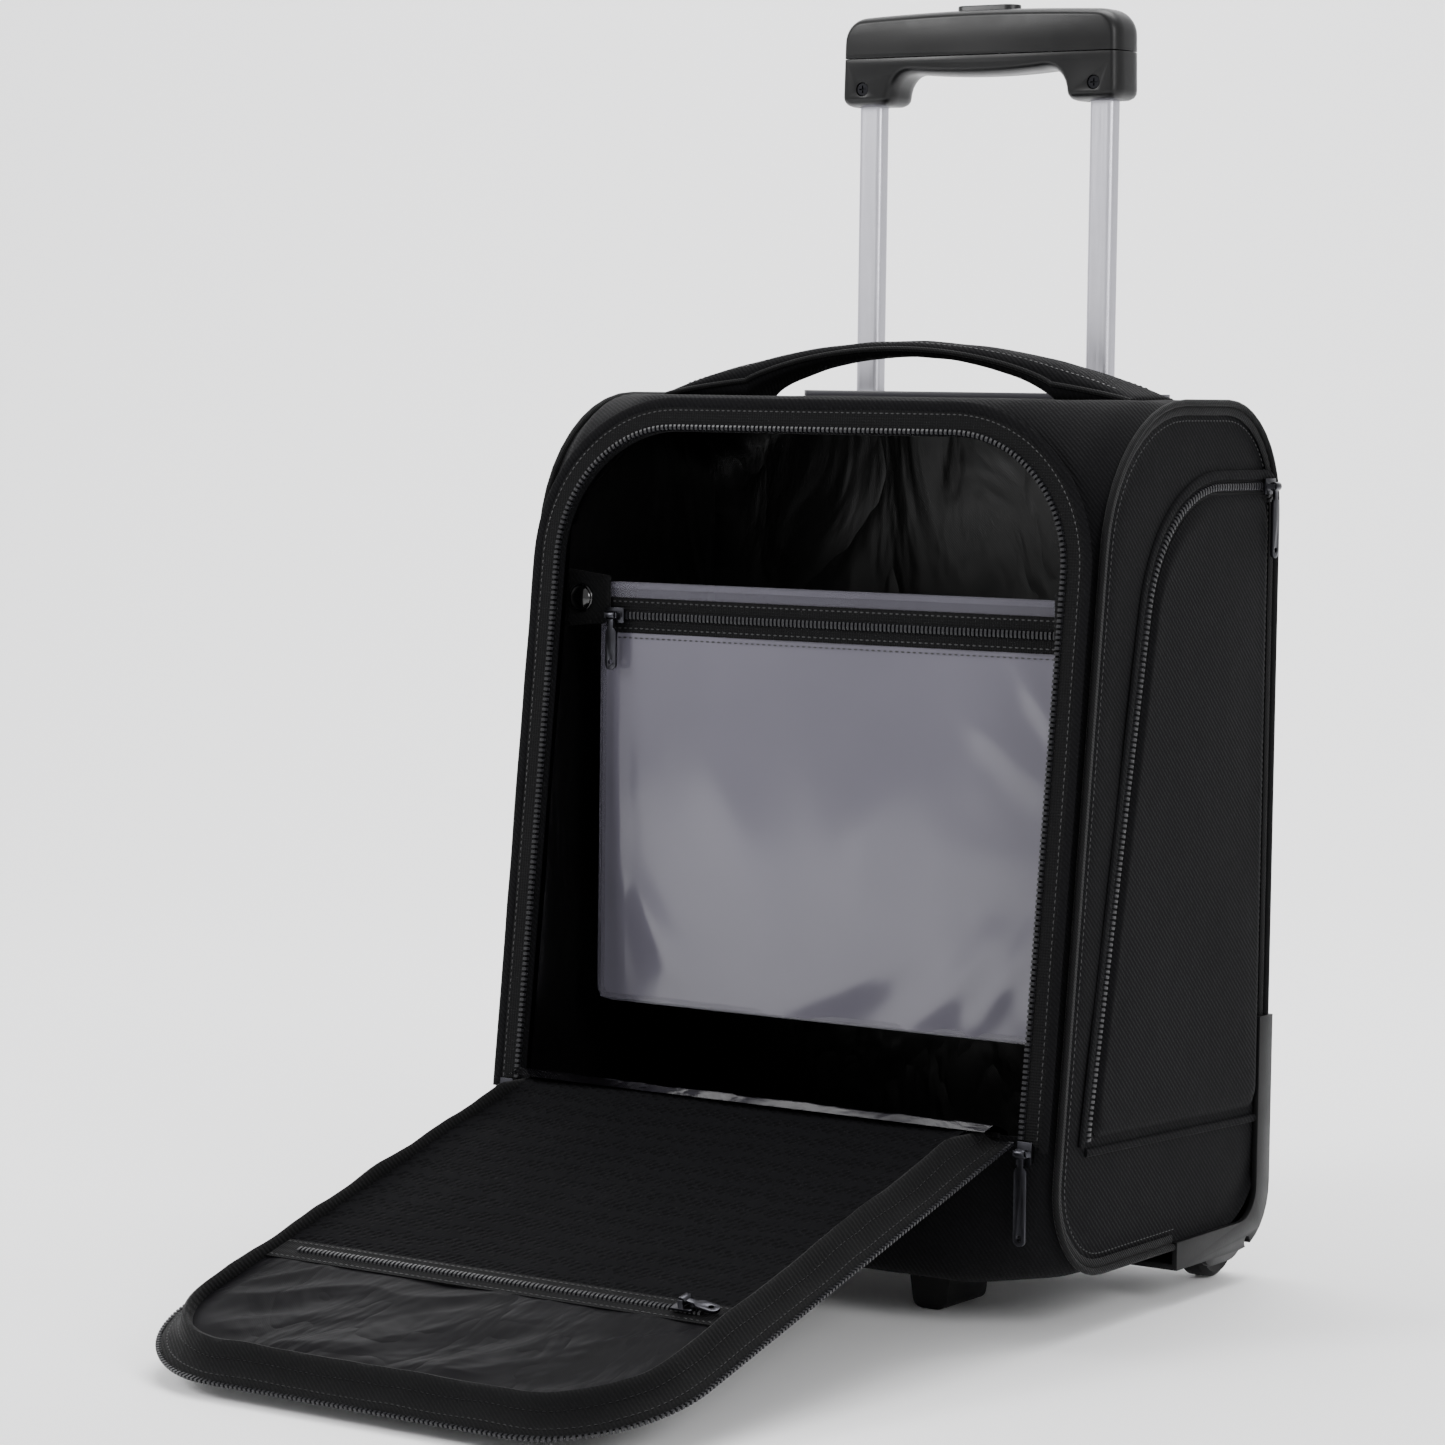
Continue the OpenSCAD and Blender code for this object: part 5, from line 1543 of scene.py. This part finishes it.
@dataclass
class Hardware:
    """Moulded and metal parts whose shape comes from the frame: edges are eased, and finishes laid on."""

    eased: tuple = (
        ("handle_bezel", "handle_bezel_eased", 1.2, Wear.BEZEL, "case", "bezel_plastic"),
        ("wheel_guard_left", "wheel_guard_left_eased", 0.8, Wear.GUARD, "case", "guard_plastic"),
        ("wheel_guard_right", "wheel_guard_right_eased", 0.8, Wear.GUARD, "case", "guard_plastic"),
        ("front_feet", "front_feet_eased", 1.6, Wear.GUARD, "case", "guard_plastic"),
        ("main_slider_left", "main_slider_left_eased", 0.3, Wear.SLIDER, "case", "zip_metal"),
        ("main_slider_right", "main_slider_right_eased", 0.3, Wear.SLIDER, "case", "zip_metal"),
        ("main_pull_left", "main_pull_left_eased", 0.4, Wear.SLIDER, "left_main_pull", "zip_metal"),
        ("main_pull_right", "main_pull_right_eased", 0.4, Wear.SLIDER, "right_main_pull", "zip_metal"),
        ("pouch_slider", "pouch_slider_eased", 0.3, Wear.SLIDER, "pouch_zip_slider", "zip_metal"),
        ("pouch_pull", "pouch_pull_eased", 0.4, Wear.SLIDER, "pouch_zip_pull", "zip_metal"),
        ("mesh_slider", "mesh_slider_eased", 0.3, Wear.SLIDER, "mesh_zip_slider", "zip_metal"),
        ("mesh_pull", "mesh_pull_eased", 0.4, Wear.SLIDER, "mesh_zip_pull", "zip_metal"),
        ("side_slider", "side_slider_eased", 0.3, Wear.SLIDER, "side_zip_slider", "zip_metal"),
        ("side_pull", "side_pull_eased", 0.4, Wear.SLIDER, "side_zip_pull", "zip_metal"),
    )
    finishes: tuple = (
        (Wear.TUBE, ("outer_tubes", "middle_tubes", "inner_tubes")), (Wear.ROD, ("push_rods",)),
        (Wear.INNER, ("middle_glides", "tube_bracket", "lock_plugs")), (Wear.STEEL, ("axles",)),
        (Wear.SCREW, ("guard_screws", "foot_screws", "grip_screws")), (Wear.SPRING, ("button_spring",)),
        (Wear.HUB, ("wheel_hub_left", "wheel_hub_right")),
        (Wear.TYRE, ("wheel_tyre_left", "wheel_tyre_right")),
        (Wear.BOARD, ("back_board", "base_board", "flap_board")),
        (Wear.SHELL, ("hinge_tape",)),
    )

    def build(self) -> None:
        """Eases the edges that show, and lays a finish on every other node."""
        for node, name, width, wear, body, slot in self.eased:
            softened(node, name, width, wear, body, slot)
        for wear, nodes in self.finishes:
            for node in nodes:
                piece = frame["nodes"][node]
                piece.data.materials.clear()
                piece.data.materials.append(wear.material())
                log.info("%s: %s", node, wear.value.name)


# ------------------------------------------------------------------ studio
@dataclass
class Studio:
    """A pale sweep, soft lamps and the camera."""

    target: Vector = field(default_factory=lambda: Vector((-0.12088, 0.19057, 0.27193)))
    azimuth: float = 34.107
    elevation: float = 4.42
    roll: float = 0.714
    distance: float = 2.31409
    lens: float = 4371.02 * 36 / 1445

    def build(self) -> None:
        """Sets up the floor, the lamps and the camera."""
        self.sweep()
        self.lamps()
        self.camera()

    def sweep(self) -> None:
        """A pale paper floor that curves up behind the case."""
        away, across = np.array([-0.56, 0.83]), np.array([0.83, 0.56])
        arc = [(1.6 + 1.2 * math.sin(t), 1.2 * (1 - math.cos(t))) for t in np.linspace(0, math.pi / 2, 24)]
        profile = [(-4.0, 0.0)] + arc + [(2.8, 4.5)]
        rows = np.array([[(*(away * d + across * w), z - 0.0006) for d, z in profile] for w in (-4.5, 4.5)])
        draft = Draft()
        draft.loft(rows, False)
        floor = draft.piece("studio_floor", 80.0)
        paper = bpy.data.materials.new("studio_paper")
        paper.use_nodes = True
        shader = paper.node_tree.nodes["Principled BSDF"]
        shader.inputs["Base Color"].default_value = linear("#fbfbfc")
        shader.inputs["Roughness"].default_value = 0.8
        floor.data.materials.append(paper)

    def lamps(self) -> None:
        """Soft boxes above, left and right, and a bright even surround."""
        for name, place, aim, size, power in (
                ("key_box", (-1.5, -1.6, 1.7), (0, 0.05, 0.25), 0.9, 44.0),
                ("fill_box", (2.0, -0.7, 1.2), (0.1, 0.1, 0.25), 0.9, 26.0),
                ("paper_box", (-0.2, 1.0, 2.6), (-1.2, 2.0, 0.6), 2.0, 90.0),
                ("top_box", (0.1, 0.3, 2.4), (0, 0.1, 0.2), 1.6, 16.0)):
            lamp = bpy.data.lights.new(name, "AREA")
            lamp.size, lamp.energy = size, power
            holder = bpy.data.objects.new(name, lamp)
            holder.location = place
            holder.rotation_euler = (Vector(aim) - Vector(place)).to_track_quat("-Z", "Y").to_euler()
            bpy.context.scene.collection.objects.link(holder)
        world = bpy.data.worlds.new("bright_surround")
        world.use_nodes = True
        world.node_tree.nodes["Background"].inputs["Color"].default_value = linear("#ffffff")
        world.node_tree.nodes["Background"].inputs["Strength"].default_value = 0.8
        bpy.context.scene.world = world

    def camera(self) -> None:
        """The camera, at the eye's place in front of the case."""
        a, e, r = (math.radians(v) for v in (self.azimuth, self.elevation, self.roll))
        back = Vector((math.sin(a) * math.cos(e), -math.cos(a) * math.cos(e), math.sin(e)))
        right = Vector((math.cos(a), math.sin(a), 0.0))
        up = back.cross(right)
        lens = bpy.data.cameras.new("studio_camera")
        lens.sensor_width, lens.lens = 36.0, self.lens
        lens.clip_start, lens.clip_end = 0.05, 50.0
        eye = bpy.data.objects.new("studio_camera", lens)
        turn = Matrix((right * math.cos(r) + up * math.sin(r), up * math.cos(r) - right * math.sin(r),
                       back)).transposed()
        eye.matrix_world = Matrix.Translation(self.target + back * self.distance) @ turn.to_4x4()
        bpy.context.scene.collection.objects.link(eye)
        bpy.context.scene.camera = eye


def main() -> None:
    """Builds the case in order."""
    logging.basicConfig(level=logging.INFO, format="%(message)s")
    bpy.ops.object.select_all(action="DESELECT")
    for part in (Studio(), Walls(), MainZip(), Lining(), SidePocket(), CarryHandle(), Pouch(), Flap(), Grip(),
                 Hardware()):
        log.info("-- %s", type(part).__name__)
        part.build()


if __name__ == "__main__":
    main()
